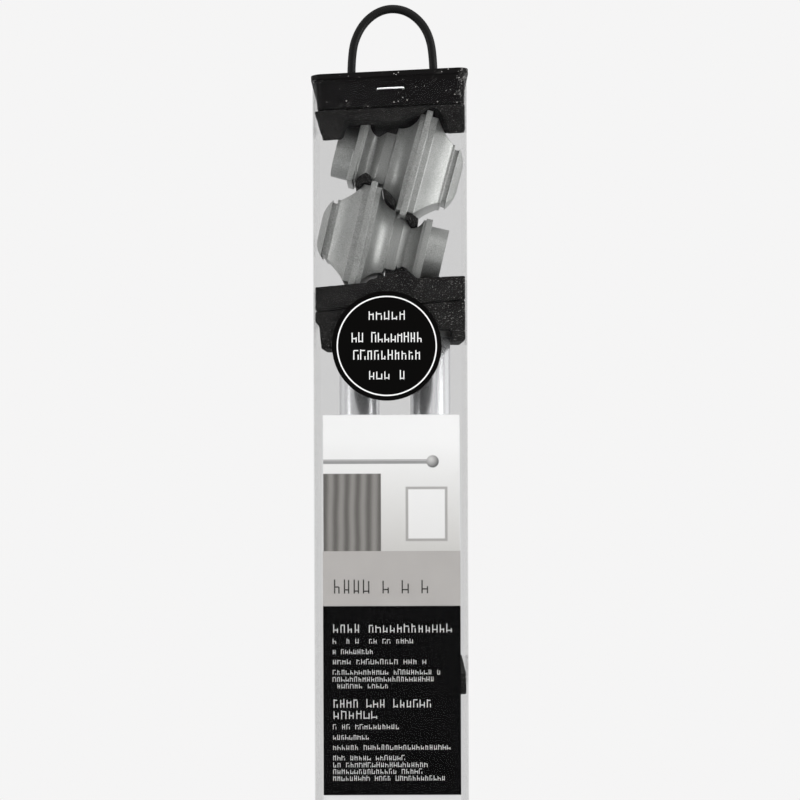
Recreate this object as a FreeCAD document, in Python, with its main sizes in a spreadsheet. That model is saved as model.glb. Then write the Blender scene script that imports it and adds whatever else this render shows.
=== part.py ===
import FreeCAD, Part
import math
import os
import Sketcher

# Double curtain pole in its clear hanging pack.
# Two telescoping steel poles, two square moulded finials, three double brackets and their fixings,
# held by cut foam in a clear folded sleeve with a plastic cap at each end.
# Millimetres, +Z up along the pack, front face towards -Y, origin under the bottom cap.

# Driving dimensions, in millimetres and degrees
SIZES = [
    # clear sleeve
    ("sleeve_wide", 71.0), ("sleeve_deep", 57.0), ("sleeve_wall", 0.4), ("fold_bend", 1.3), ("lap_wide", 9.0),
    ("fit", 0.3),
    # end caps
    ("cap_rim", 2.3), ("rim_over", 0.85), ("cap_deep", 14.0), ("cap_wall", 1.5), ("cap_floor", 1.6),
    ("cap_taper", 3.0), ("cap_corner", 4.5), ("cap_edge", 1.2), ("cap_tilt", 2.6), ("cap_clear", 0.35),
    # hanging loop
    ("loop_cord", 4.0), ("loop_left", 18.6), ("loop_right", 20.5), ("boss_round", 8.0), ("boss_tall", 5.0),
    # staple
    ("staple_wide", 13.0), ("staple_wire", 0.9), ("staple_drop", 4.0), ("staple_leg", 4.6), ("staple_off", 0.35),
    ("staple_tip", 2.4),
    # cut foam
    ("foam_slack", 0.3), ("foam_tilt", 4.2), ("slab_thick", 11.4), ("saddle_web", 8.4), ("saddle_leg", 9.2),
    ("saddle_leg_short", 5.8), ("leg_gap", 0.3), ("press_in", 1.1), ("spacer_thick", 10.3), ("spacer_short", 3.6),
    ("base_foam_thick", 25.0), ("base_pocket", 12.0), ("top_foam_web", 1.2), ("wedge_short", 3.8),
    # outline of the foam cradle, each drop measured down from the cap's underside
    ("cradle_side", 3.4), ("cradle_shoulder", 5.6), ("top_leg", 15.4), ("top_leg_taper", 3.8),
    ("top_leg_wide", 8.2), ("notch_slope", 2.9), ("top_ceiling", 6.8), ("ceiling_rise", 0.5), ("ceiling_end", 5.2),
    ("arch_foot", 15.3), ("arch_drop", 2.8), ("arch_left", 17.4), ("arch_right", 21.6), ("arch_web", 0.4),
    ("knee_drop", 4.6), ("knee_in", 1.9), ("top_leg_short", 12.0), ("short_leg_in", 0.5), ("leg_chamfer", 1.1),
    ("cradle_slant", 9.6), ("cradle_side_slant", 3.0), ("slant_start", 0.3),
    # outline of the foam saddle
    ("saddle_side", 3.2), ("saddle_shoulder", 1.8), ("saddle_shoulder_in", 1.7), ("saddle_taper", 2.7),
    ("saddle_chamfer", 0.8), ("saddle_chamfer_tall", 1.2),
    # telescoping poles
    ("pole_long", 1219.2), ("pole_round", 19.0), ("pole_wall", 0.8), ("inner_round", 16.0), ("inner_wall", 0.7),
    ("inner_short", 95.2), ("slide_gap", 0.1), ("bush_long", 18.0), ("bush_inset", 40.0), ("pole_inset", 18.8),
    ("pole_off", 1.9), ("pole_forward", 8.0), ("end_plug_long", 14.0), ("end_plug_head", 3.0),
    # square finials, stations along the axis from the open end of the collar
    ("collar_round", 26.5), ("collar_long", 8.6), ("socket_deep", 11.5), ("socket_gap", 0.2),
    ("flange_half", 14.8), ("flange_thick", 3.0), ("flange_step", 1.1), ("flange_drop", 0.9), ("neck_half", 9.3),
    ("neck_cove", 5.0), ("neck_flat", 0.4), ("band_half", 12.2), ("band_slope", 3.3), ("band_long", 4.5),
    ("flare_half", 14.9), ("flare_rise", 0.4), ("flare_long", 8.6), ("plate_step", 2.4), ("crown_step", 3.1),
    ("plate_drop", 2.1),
    ("plate_half", 25.0), ("plate_thick", 2.9), ("crown_half", 14.2), ("crown_long", 9.6), ("lip_long", 1.2),
    ("groove_long", 2.2), ("groove_deep", 1.8), ("button_half", 13.4), ("button_long", 3.8),
    ("button_flat", 3.0),
    # how the finials nest
    ("tilt_upper", 15.2), ("tilt_lower", 13.2), ("nest_gap", 0.8), ("nest_along", 16.1), ("finial_off", 12.6),
    # printed card and sticker
    ("card_narrow", 7.7), ("card_tall", 181.0), ("card_thick", 0.35), ("card_drop", 154.1), ("card_off", 0.2),
    ("sticker_round", 50.4), ("sticker_thick", 0.15), ("sticker_drop", 122.5), ("sticker_off", 1.7),
    ("spacer_drop", 273.3),
    # double brackets
    ("bracket_wide", 16.0), ("strap_thick", 3.0), ("plate_clear", 5.5), ("plate_hole", 5.0),
    ("hole_in", 9.0), ("cup_wall", 2.5), ("cup_gap", 0.5), ("back_cup_at", 62.0), ("front_cup_at", 125.0),
    ("cup_lip", 5.0), ("thumb_round", 4.0), ("thumb_long", 7.0), ("thumb_head", 9.0), ("thumb_head_long", 4.0),
    # bag of fixings
    ("bag_clear", 6.5), ("bag_tall", 82.0), ("bag_deep", 10.0), ("bag_film", 0.4), ("fixing_pitch", 9.0),
    ("screw_round", 4.0), ("screw_long", 38.0), ("screw_head", 8.0), ("screw_head_long", 2.5),
    ("anchor_round", 6.0), ("anchor_long", 32.0), ("anchor_bore", 3.0),
]

BRACKETS = 3
FIXINGS = 6

# Top of the foam slab where it swells into the finial above: across, and up from its straight edge
SLAB_RIDGE = [(-11.0, 0.3), (-10.0, 1.6), (-6.0, 2.4), (-2.6, 2.6), (-1.6, 4.0), (5.6, 4.4), (8.0, 4.6), (10.2, 3.0),
              (12.2, 0.6)]

# Foam squeezed between the two finials: outlines along and across their shared direction
WEDGES = [
    [(-9.2, 24.2), (-6.8, 27.2), (-5.4, 28.2), (-3.4, 27.4), (-2.4, 26.5), (-2.4, 23.1), (-5.2, 23.1),
     (-7.6, 20.1), (-9.2, 20.6)],
    [(3.8, 23.0), (6.0, 22.4), (8.7, 20.7), (10.5, 18.5), (11.1, 17.3), (11.5, 16.2), (11.5, 15.5),
     (8.7, 16.4), (6.8, 17.5), (5.0, 19.5), (4.4, 20.6), (3.8, 22.1)],
    [(17.4, 14.8), (20.2, 14.8), (20.4, 14.4), (22.4, 13.8), (23.6, 12.8), (23.6, 11.5), (22.4, 10.5),
     (20.8, 10.0), (17.4, 12.7)],
]

# Points of the loop's route between its two sockets: across, and up from the sleeve's top edge
LOOP_ROUTE = [(-19.2, 16.0), (-14.2, 31.4), (-3.6, 39.7), (8.6, 38.9), (18.2, 29.6), (21.2, 14.5)]

# Places worked out from the driving dimensions
PLACES = [
    ("inner_x", "Sizes.sleeve_wide / 2 - Sizes.sleeve_wall"),
    ("inner_y", "Sizes.sleeve_deep / 2 - Sizes.sleeve_wall"),
    ("foam_x", "inner_x - Sizes.foam_slack"),
    ("foam_deep", "2 * (inner_y - Sizes.foam_slack)"),
    ("cap_top", "Sizes.cap_rim + Sizes.cap_deep"),
    ("foot", "cap_top + Sizes.base_foam_thick - Sizes.base_pocket"),
    ("pole_top", "foot + Sizes.pole_long"),
    ("slope", "tan(Sizes.foam_tilt)"),
    ("seam_left", "pole_top + Sizes.saddle_web"),
    ("seam_right", "seam_left + 2 * foam_x * slope"),
    ("slab_left", "seam_left + Sizes.slab_thick"),
    ("slab_right", "seam_right + Sizes.slab_thick"),
    ("half_apart", "Sizes.sleeve_wide / 2 - Sizes.pole_inset"),
    ("left_pole_x", "Sizes.pole_off - half_apart"),
    ("right_pole_x", "Sizes.pole_off + half_apart"),
    ("inner_long", "Sizes.pole_long - Sizes.inner_short"),
    ("band_at", "Sizes.collar_long + Sizes.flange_thick + Sizes.flange_step + Sizes.neck_cove + Sizes.neck_flat"
                " + Sizes.band_slope"),
    ("flare_at", "band_at + Sizes.band_long + Sizes.flare_rise"),
    ("step_at", "flare_at + Sizes.flare_long"),
    ("plate_at", "step_at + Sizes.plate_step"),
    ("plate_mid", "plate_at + Sizes.plate_thick / 2"),
    ("crown_at", "plate_at + Sizes.plate_thick + Sizes.crown_step"),
    ("finial_long", "crown_at + Sizes.crown_long + Sizes.lip_long + Sizes.groove_long + Sizes.button_long"),
    ("low_corner_x", "-Sizes.finial_off - Sizes.plate_half * sin(Sizes.tilt_lower)"),
    ("low_x", "-Sizes.finial_off"),
    ("low_z", "slab_left + (low_corner_x + foam_x) * slope + Sizes.plate_half * cos(Sizes.tilt_lower)"
              " - Sizes.press_in"),
    ("nest_tilt", "(Sizes.tilt_upper + Sizes.tilt_lower) / 2"),
    ("nest_across", "Sizes.plate_half + Sizes.band_half + Sizes.nest_gap"),
    ("up_x", "low_x + Sizes.nest_along * cos(nest_tilt) + nest_across * sin(nest_tilt)"),
    ("up_z", "low_z - Sizes.nest_along * sin(nest_tilt) + nest_across * cos(nest_tilt)"),
    ("cap_under", "up_z + Sizes.plate_half * cos(Sizes.tilt_upper) + Sizes.top_foam_web"),
    ("cap_seat", "cap_under + Sizes.cap_deep / cos(Sizes.cap_tilt)"),
    ("sleeve_top", "cap_seat - Sizes.sleeve_wide / 2 * tan(Sizes.cap_tilt)"),
    ("cap_slope", "tan(Sizes.cap_tilt)"),
    ("spacer_top", "sleeve_top - Sizes.spacer_drop"),
    ("spacer_wide", "2 * foam_x - Sizes.spacer_short"),
    ("card_wide", "Sizes.sleeve_wide - Sizes.card_narrow"),
    ("plate_tall", "Sizes.sleeve_wide - 2 * Sizes.plate_clear"),
    ("hole_apart", "plate_tall - 2 * Sizes.hole_in"),
    ("bag_wide", "Sizes.sleeve_wide - 2 * Sizes.bag_clear"),
    ("cup_in", "Sizes.pole_round / 2 + Sizes.cup_gap"),
    ("cup_out", "cup_in + Sizes.cup_wall"),
    ("cup_x", "Sizes.strap_thick / 2 + cup_out - Sizes.fit"),
    ("bracket_y", "inner_y - Sizes.fit - Sizes.bracket_wide"),
    ("bracket_pitch", "Sizes.front_cup_at + cup_in + Sizes.thumb_long + Sizes.thumb_head_long + Sizes.fit"),
    ("rest_top", "spacer_top - Sizes.spacer_thick - %d * bracket_pitch" % BRACKETS),
    ("bag_y", "inner_y - Sizes.fit - Sizes.bag_deep"),
]


def make_sheets(doc):
    """The sheet of plain sizes, and the sheet of places that follow from them."""
    sizes = doc.addObject("Spreadsheet::Sheet", "Sizes")
    for row, (alias, value) in enumerate(SIZES, 1):
        sizes.set("A%d" % row, alias)
        sizes.set("B%d" % row, str(value))
        sizes.setAlias("B%d" % row, alias)
    places = doc.addObject("Spreadsheet::Sheet", "Places")
    for row, (alias, formula) in enumerate(PLACES, 1):
        places.set("A%d" % row, alias)
        places.set("B%d" % row, "=" + formula)
        places.setAlias("B%d" % row, alias)
    doc.recompute()
    return sizes, places


def bind(thing, rules):
    """Ties properties of one object to cells of the sheets."""
    for name, rule in rules.items():
        thing.setExpression(name, str(rule))


def move_to(thing, spot, turn=None):
    """Puts an object at a bound spot, turned about Y by a bound angle."""
    if turn:
        thing.Placement = FreeCAD.Placement(FreeCAD.Vector(), FreeCAD.Rotation(FreeCAD.Vector(0, 1, 0), 10))
        thing.setExpression("Placement.Rotation.Angle", turn)
    for letter, rule in zip("xyz", spot):
        thing.setExpression("Placement.Base." + letter, str(rule))


def sketch_on(body, name, plane, lift=None):
    """An empty sketch on one of the body's own origin planes, lifted along its normal."""
    sketch = body.newObject("Sketcher::SketchObject", name)
    sketch.AttachmentSupport = ([f for f in body.Origin.OriginFeatures if f.Role == plane][0], "")
    sketch.MapMode = "FlatFace"
    if lift:
        sketch.setExpression("AttachmentOffset.Base.z", lift)
    return sketch


def pin(sketch, edge, end, spot):
    """Holds one end of an edge at a bound distance from the sketch's origin."""
    for kind, rule in zip(("DistanceX", "DistanceY"), spot):
        value = float(sketch.evalExpression(str(rule)))
        index = sketch.addConstraint(Sketcher.Constraint(kind, -1, 1, edge, end, value))
        sketch.setExpression("Constraints[%d]" % index, str(rule))


def draw_polygon(sketch, points):
    """A closed outline of straight edges with every corner bound."""
    spots = [FreeCAD.Vector(*[float(sketch.evalExpression(str(rule))) for rule in point]) for point in points]
    first = sketch.GeometryCount
    count = len(points)
    for i in range(count):
        sketch.addGeometry(Part.LineSegment(spots[i], spots[(i + 1) % count]), False)
    for i in range(count):
        sketch.addConstraint(Sketcher.Constraint("Coincident", first + i, 2, first + (i + 1) % count, 1))
        pin(sketch, first + i, 1, points[i])


def draw_circle(sketch, centre, radius):
    """A bound circle."""
    spot = FreeCAD.Vector(*[float(sketch.evalExpression(str(rule))) for rule in centre])
    value = float(sketch.evalExpression(radius))
    edge = sketch.addGeometry(Part.Circle(spot, FreeCAD.Vector(0, 0, 1), value), False)
    pin(sketch, edge, 3, centre)
    index = sketch.addConstraint(Sketcher.Constraint("Radius", edge, value))
    sketch.setExpression("Constraints[%d]" % index, radius)


def draw_rounded(sketch, half_x, half_y, radius):
    """A rounded rectangle about the sketch's origin: four sides and four corner arcs."""
    x, y, r = (float(sketch.evalExpression(rule)) for rule in (half_x, half_y, radius))
    first = sketch.GeometryCount
    near_x, near_y = "(%s) - (%s)" % (half_x, radius), "(%s) - (%s)" % (half_y, radius)
    sides = [(("-(%s)" % near_x, "-(%s)" % half_y), (near_x, "-(%s)" % half_y)),
             ((half_x, "-(%s)" % near_y), (half_x, near_y)),
             ((near_x, half_y), ("-(%s)" % near_x, half_y)),
             (("-(%s)" % half_x, near_y), ("-(%s)" % half_x, "-(%s)" % near_y))]
    centres = [(x - r, r - y), (x - r, y - r), (r - x, y - r), (r - x, r - y)]
    for start, stop in sides:
        ends = [FreeCAD.Vector(*[float(sketch.evalExpression(rule)) for rule in end]) for end in (start, stop)]
        sketch.addGeometry(Part.LineSegment(*ends), False)
    for i, (cx, cy) in enumerate(centres):
        circle = Part.Circle(FreeCAD.Vector(cx, cy, 0), FreeCAD.Vector(0, 0, 1), r)
        begin = (i - 1) * math.pi / 2
        sketch.addGeometry(Part.ArcOfCircle(circle, begin, begin + math.pi / 2), False)
    for i, (start, stop) in enumerate(sides):
        pin(sketch, first + i, 1, start)
        pin(sketch, first + i, 2, stop)
        arc = first + 4 + i
        sketch.addConstraint(Sketcher.Constraint("Coincident", first + i, 2, arc, 1))
        sketch.addConstraint(Sketcher.Constraint("Coincident", arc, 2, first + (i + 1) % 4, 1))
        index = sketch.addConstraint(Sketcher.Constraint("Radius", arc, r))
        sketch.setExpression("Constraints[%d]" % index, radius)


def pad(body, name, sketch, length, reverse=False, middle=False, taper=None):
    """A pad of bound length on a sketch."""
    feature = body.newObject("PartDesign::Pad", name)
    feature.Profile = sketch
    feature.Reversed = reverse
    feature.Midplane = middle
    bind(feature, {"Length": length})
    if taper:
        bind(feature, {"TaperAngle": taper})
    return feature


def prism(doc, name, points, depth, spot=(0, 0, 0), turn=None):
    """A body of constant front outline, as deep as given about its middle plane."""
    body = doc.addObject("PartDesign::Body", name)
    sketch = sketch_on(body, name + "_outline", "XZ_Plane")
    draw_polygon(sketch, points)
    pad(body, name + "_block", sketch, depth, middle=True)
    move_to(body, spot, turn)
    return body


def box(doc, name, size, spot):
    """A bound box from its low corner."""
    thing = doc.addObject("Part::Box", name)
    bind(thing, dict(zip(("Length", "Width", "Height"), size)))
    move_to(thing, spot)
    return thing


def rod(doc, name, radius, length, spot, along="z"):
    """A bound cylinder that starts at spot and runs along an axis."""
    thing = doc.addObject("Part::Cylinder", name)
    bind(thing, {"Radius": radius, "Height": length})
    if along == "y":
        thing.Placement.Rotation = FreeCAD.Rotation(FreeCAD.Vector(1, 0, 0), -90)
    move_to(thing, spot)
    return thing


def cone(doc, name, radii, length, spot):
    """A bound cone frustum that starts at spot and runs up."""
    thing = doc.addObject("Part::Cone", name)
    bind(thing, {"Radius1": radii[0], "Radius2": radii[1], "Height": length})
    move_to(thing, spot)
    return thing


def join(doc, name, things):
    """One solid of several that meet."""
    thing = doc.addObject("Part::MultiFuse", name)
    thing.Shapes = things
    thing.Refine = True
    return thing


def cut(doc, name, base, tool):
    """Base with the tool taken away."""
    thing = doc.addObject("Part::Cut", name)
    thing.Base = base
    thing.Tool = tool
    return thing


def group(doc, name, things):
    """Like pieces that stay separate solids in one node."""
    thing = doc.addObject("Part::Compound", name)
    thing.Links = things
    return thing


def route_wire(points, bend=None):
    """Straight runs joined by tangent arcs. Without a bend each arc is as large as its runs allow."""
    edges, start, radii = [], points[0], []
    for before, corner, after in zip(points, points[1:], points[2:]):
        to_before, to_after = before - corner, after - corner
        runs = min(to_before.Length, to_after.Length)
        to_before.normalize()
        to_after.normalize()
        half_turn = (math.pi - to_before.getAngle(to_after)) / 2
        radius = bend or 0.45 * runs / math.tan(half_turn)
        reach = radius * math.tan(half_turn)
        middle = to_before + to_after
        middle.normalize()
        first, last = corner + to_before * reach, corner + to_after * reach
        top = corner + middle * (radius / math.cos(half_turn) - radius)
        edges += [Part.LineSegment(start, first).toShape(), Part.Arc(first, top, last).toShape()]
        start = last
        radii.append(round(radius, 1))
    edges.append(Part.LineSegment(start, points[-1]).toShape())
    return Part.Wire(edges), radii


def sweep_round(points, radius, bend=None):
    """A round rod along a route."""
    wire, radii = route_wire(points, bend)
    way = points[1] - points[0]
    ring = Part.Wire(Part.Circle(points[0], way, radius).toShape())
    solid = wire.makePipeShell([ring], True, False)
    share = solid.Volume / (math.pi * radius ** 2 * wire.Length)
    print("route radii", radii, "length", round(wire.Length, 1), "volume share", round(share, 3))
    return solid


def feature(doc, name, shape, placement=None):
    """A plain feature whose shape is worked out in code."""
    thing = doc.addObject("Part::Feature", name)
    thing.Shape = shape
    if placement:
        thing.Placement = placement
    return thing


def profile_edges(stations, side):
    """Edges of half a profile: a station is (s, r), and one with a third value bows towards that point."""
    edges = []
    for (s1, r1, *_), (s2, r2, *through) in zip(stations, stations[1:]):
        start, stop = FreeCAD.Vector(s1, 0, side * r1), FreeCAD.Vector(s2, 0, side * r2)
        if through:
            middle = FreeCAD.Vector(through[0][0], 0, side * through[0][1])
            edges.append(Part.Arc(start, middle, stop).toShape())
        else:
            edges.append(Part.LineSegment(start, stop).toShape())
    return edges


def moulding(stations):
    """A mitred square moulding about X: one profile cut out front to back and again side to side."""
    span = 2 * max(station[1] for station in stations) + 2
    upper, lower = profile_edges(stations, 1), profile_edges(stations, -1)
    face = Part.Face(Part.Wire(upper + lower[::-1]))
    face.translate(FreeCAD.Vector(0, -span / 2, 0))
    front = face.extrude(FreeCAD.Vector(0, span, 0))
    side = front.copy()
    side.rotate(FreeCAD.Vector(), FreeCAD.Vector(1, 0, 0), 90)
    return front.common(side)


def finial_stations(v, place):
    """The finial's profile, from the collar's face to the flat of its button."""
    flange_end = v.collar_long + v.flange_thick
    neck_at = flange_end + v.flange_step
    neck_top = v.flange_half - v.flange_drop
    cove_end = neck_at + v.neck_cove
    step_half = v.plate_half - v.plate_drop
    plate_end = place.plate_at + v.plate_thick
    crown_end = place.crown_at + v.crown_long
    lip_end = crown_end + v.lip_long
    button_at = lip_end + v.groove_long
    groove_half = v.crown_half - v.groove_deep
    return [
        (v.collar_long, 0), (v.collar_long, v.flange_half), (flange_end, v.flange_half), (flange_end, neck_top),
        (neck_at, neck_top),
        (cove_end, v.neck_half, (neck_at + 0.32 * v.neck_cove, neck_top - 0.62 * (neck_top - v.neck_half))),
        (cove_end + v.neck_flat, v.neck_half), (place.band_at, v.band_half),
        (place.band_at + v.band_long, v.band_half), (place.flare_at, v.flare_half),
        (place.step_at, step_half - v.flange_drop,
         (place.flare_at + 0.62 * v.flare_long, v.flare_half + 0.26 * (step_half - v.flare_half))),
        (place.step_at, step_half), (place.plate_at, step_half), (place.plate_at, v.plate_half),
        (plate_end, v.plate_half), (plate_end, step_half), (place.crown_at, step_half),
        (crown_end, v.crown_half,
         (place.crown_at + 0.36 * v.crown_long, step_half - 0.47 * (step_half - v.crown_half))),
        (lip_end, v.crown_half), (lip_end, groove_half), (button_at, groove_half), (button_at, v.button_half),
        (place.finial_long, v.button_flat,
         (button_at + 0.6 * v.button_long, v.button_half - 0.3 * (v.button_half - v.button_flat))),
        (place.finial_long, 0),
    ]


def finial_shape(v, place):
    """One finial along X from its collar's open end: square moulding, round collar, blind socket."""
    axis = FreeCAD.Vector(1, 0, 0)
    collar = Part.makeCylinder(v.collar_round / 2, v.collar_long, FreeCAD.Vector(), axis)
    body = moulding(finial_stations(v, place)).fuse(collar).removeSplitter()
    socket = Part.makeCylinder(v.pole_round / 2 + v.socket_gap, v.socket_deep, FreeCAD.Vector(), axis)
    return body.cut(socket)


def press_shape(v, place):
    """The room that a finial presses into foam: its main steps, a clearance larger."""
    gap = v.fit
    step_half = v.plate_half - v.plate_drop + gap
    wide, plate_end = v.plate_half + gap, place.plate_at + v.plate_thick
    crown_end = place.crown_at + v.crown_long
    neck_at = v.collar_long + v.flange_thick + v.flange_step
    cove_end = neck_at + v.neck_cove
    block = moulding([
        (v.collar_long - gap, 0), (v.collar_long - gap, v.flange_half + gap),
        (neck_at + gap, v.flange_half + gap), (cove_end, v.neck_half + gap),
        (cove_end + v.neck_flat, v.neck_half + gap), (place.band_at - gap, v.band_half + gap),
        (place.band_at + v.band_long - gap, v.band_half + gap),
        (place.flare_at - gap, v.flare_half + gap), (place.step_at - gap, step_half), (place.plate_at - gap, step_half),
        (place.plate_at - gap, wide), (plate_end + gap, wide), (plate_end + gap, step_half),
        (place.crown_at + gap, step_half), (crown_end, v.crown_half + gap),
        (place.finial_long + gap, v.crown_half + gap), (place.finial_long + gap, 0),
    ])
    collar = Part.makeCylinder(v.collar_round / 2 + gap, v.collar_long + 2 * gap, FreeCAD.Vector(-gap, 0, 0),
                               FreeCAD.Vector(1, 0, 0))
    return block.fuse(collar)


class Cells:
    """Reads the cells of a sheet by their names."""

    def __init__(self, sheet):
        self.sheet = sheet

    def __getattr__(self, name):
        return float(self.sheet.get(name))


def make_caps(doc, v, place):
    """The moulded end caps, open cups with a rim: the top one tilted, with sockets for the loop."""
    caps = []
    for name, bosses in (("top_cap_cup", True), ("bottom_cap", False)):
        body = doc.addObject("PartDesign::Body", name)
        rim = sketch_on(body, name + "_rim", "XY_Plane")
        draw_rounded(rim, "Sizes.sleeve_wide / 2 + Sizes.rim_over", "Sizes.sleeve_deep / 2 + Sizes.rim_over",
                     "Sizes.cap_corner + Sizes.rim_over")
        pad(body, name + "_rim_plate", rim, "Sizes.cap_rim")
        cup = sketch_on(body, name + "_cup", "XY_Plane")
        draw_rounded(cup, "Places.inner_x - Sizes.cap_clear", "Places.inner_y - Sizes.cap_clear",
                     "Sizes.cap_corner")
        pad(body, name + "_walls", cup, "Sizes.cap_deep", reverse=True, taper="-Sizes.cap_taper")
        hollow = sketch_on(body, name + "_hollow", "XY_Plane", "Sizes.cap_rim")
        wall = "Places.inner_x - Sizes.cap_clear - Sizes.cap_wall"
        draw_rounded(hollow, wall, wall.replace("inner_x", "inner_y"), "Sizes.cap_corner - Sizes.cap_wall")
        recess = body.newObject("PartDesign::Pocket", name + "_recess")
        recess.Profile = hollow
        bind(recess, {"Length": "Sizes.cap_rim + Sizes.cap_deep - Sizes.cap_floor",
                      "TaperAngle": "-Sizes.cap_taper"})
        doc.recompute()
        low = min(vertex.Z for vertex in recess.Shape.Vertexes)
        under = ["Edge%d" % (i + 1) for i, edge in enumerate(recess.Shape.Edges)
                 if all(abs(vertex.Z - low) < 1e-6 for vertex in edge.Vertexes)]
        soft = body.newObject("PartDesign::Fillet", name + "_soft_edge")
        soft.Base = (recess, under)
        bind(soft, {"Radius": "Sizes.cap_edge"})
        if bosses:
            floor = "Sizes.cap_floor - Sizes.cap_deep"
            ring = sketch_on(body, name + "_bosses", "XY_Plane", floor)
            for spot in ("-Sizes.loop_left", "Sizes.loop_right"):
                draw_circle(ring, (spot, "0"), "Sizes.boss_round / 2")
                draw_circle(ring, (spot, "0"), "Sizes.loop_cord / 2 + Sizes.fit")
            pad(body, name + "_sockets", ring, "Sizes.boss_tall")
        caps.append(body)
    top, bottom = caps
    move_to(top, ("0", "0", "Places.cap_seat"), "-Sizes.cap_tilt")
    bottom.Placement = FreeCAD.Placement(FreeCAD.Vector(), FreeCAD.Rotation(FreeCAD.Vector(0, 1, 0), 180))
    bind(bottom, {"Placement.Base.z": "Sizes.cap_rim"})
    return top, bottom


def make_sleeve(doc):
    """The clear sleeve: a folded tube of thin sheet with its glued lap down the back."""
    body = doc.addObject("PartDesign::Body", "sleeve_tube")
    outline = sketch_on(body, "sleeve_outline", "XY_Plane")
    draw_rounded(outline, "Sizes.sleeve_wide / 2", "Sizes.sleeve_deep / 2", "Sizes.fold_bend")
    draw_rounded(outline, "Places.inner_x", "Places.inner_y", "Sizes.fold_bend - Sizes.sleeve_wall")
    pad(body, "sleeve_walls", outline, "Places.sleeve_top - Sizes.cap_rim")
    move_to(body, ("0", "0", "Sizes.cap_rim"))
    lap = box(doc, "sleeve_lap", ("Sizes.lap_wide", "Sizes.sleeve_wall", "Places.sleeve_top - Sizes.cap_rim"),
              ("Sizes.sleeve_wide / 2 - Sizes.fold_bend - Sizes.lap_wide", "Sizes.sleeve_deep / 2",
               "Sizes.cap_rim"))
    return join(doc, "sleeve_sheet", [body, lap])


def make_staple(doc, v, place):
    """The wire staple through the sleeve and the top cap, and the two holes that it makes."""
    half = (v.staple_wide - v.staple_wire) / 2
    front = -v.sleeve_deep / 2 - v.staple_wire / 2 - v.slide_gap
    back = front + v.staple_leg
    middle_x, height = v.staple_off, place.sleeve_top - v.staple_drop
    points = [FreeCAD.Vector(middle_x + x, y, height + x * place.cap_slope)
              for x, y in ((-v.staple_tip, back), (-half, back), (-half, front), (half, front),
                           (half, back), (v.staple_tip, back))]
    staple = feature(doc, "staple", sweep_round(points, v.staple_wire / 2, bend=v.staple_wire))
    drills = [rod(doc, "staple_hole_" + side, "Sizes.staple_wire / 2 + Sizes.slide_gap",
                  "Sizes.staple_leg - Sizes.staple_wire",
                  ("Sizes.staple_off %s (Sizes.staple_wide - Sizes.staple_wire) / 2" % sign,
                   "-Sizes.sleeve_deep / 2 - Sizes.slide_gap",
                   "Places.sleeve_top - Sizes.staple_drop %s (Sizes.staple_wide - Sizes.staple_wire) / 2"
                   " * Places.cap_slope" % sign), along="y")
              for side, sign in (("left", "-"), ("right", "+"))]
    return staple, join(doc, "staple_holes", drills)


def make_loop(doc, v, place):
    """The cord loop, its two ends pressed into the sockets on the cap's floor."""
    tilt = FreeCAD.Rotation(FreeCAD.Vector(0, 1, 0), -v.cap_tilt)
    seat = FreeCAD.Vector(0, 0, place.cap_seat)
    floor = v.cap_floor - v.cap_deep + v.fit
    first, last = (tilt.multVec(FreeCAD.Vector(x, 0, floor)) + seat for x in (-v.loop_left, v.loop_right))
    middle = [FreeCAD.Vector(x, 0, place.sleeve_top + z) for x, z in LOOP_ROUTE]
    return feature(doc, "hang_loop", sweep_round([first] + middle + [last], v.loop_cord / 2))


def cradle_slant(doc, v, place):
    """What the cradle's slanting underside leaves out: it rises to the back, and to the right."""
    length, width, height = 2 * v.sleeve_wide, 2 * v.sleeve_deep, 2 * v.top_leg
    across = FreeCAD.Rotation(FreeCAD.Vector(0, 1, 0), -v.cradle_side_slant)
    turn = across.multiply(FreeCAD.Rotation(FreeCAD.Vector(1, 0, 0), v.cradle_slant))
    edge = FreeCAD.Vector(v.top_leg_taper - place.foam_x, -place.foam_deep / 2,
                          place.cap_under - v.top_leg - v.slant_start)
    spot = edge - turn.multVec(FreeCAD.Vector(length / 2, width / 4, height))
    return feature(doc, "cradle_slant", Part.makeBox(length, width, height), FreeCAD.Placement(spot, turn))


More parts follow.
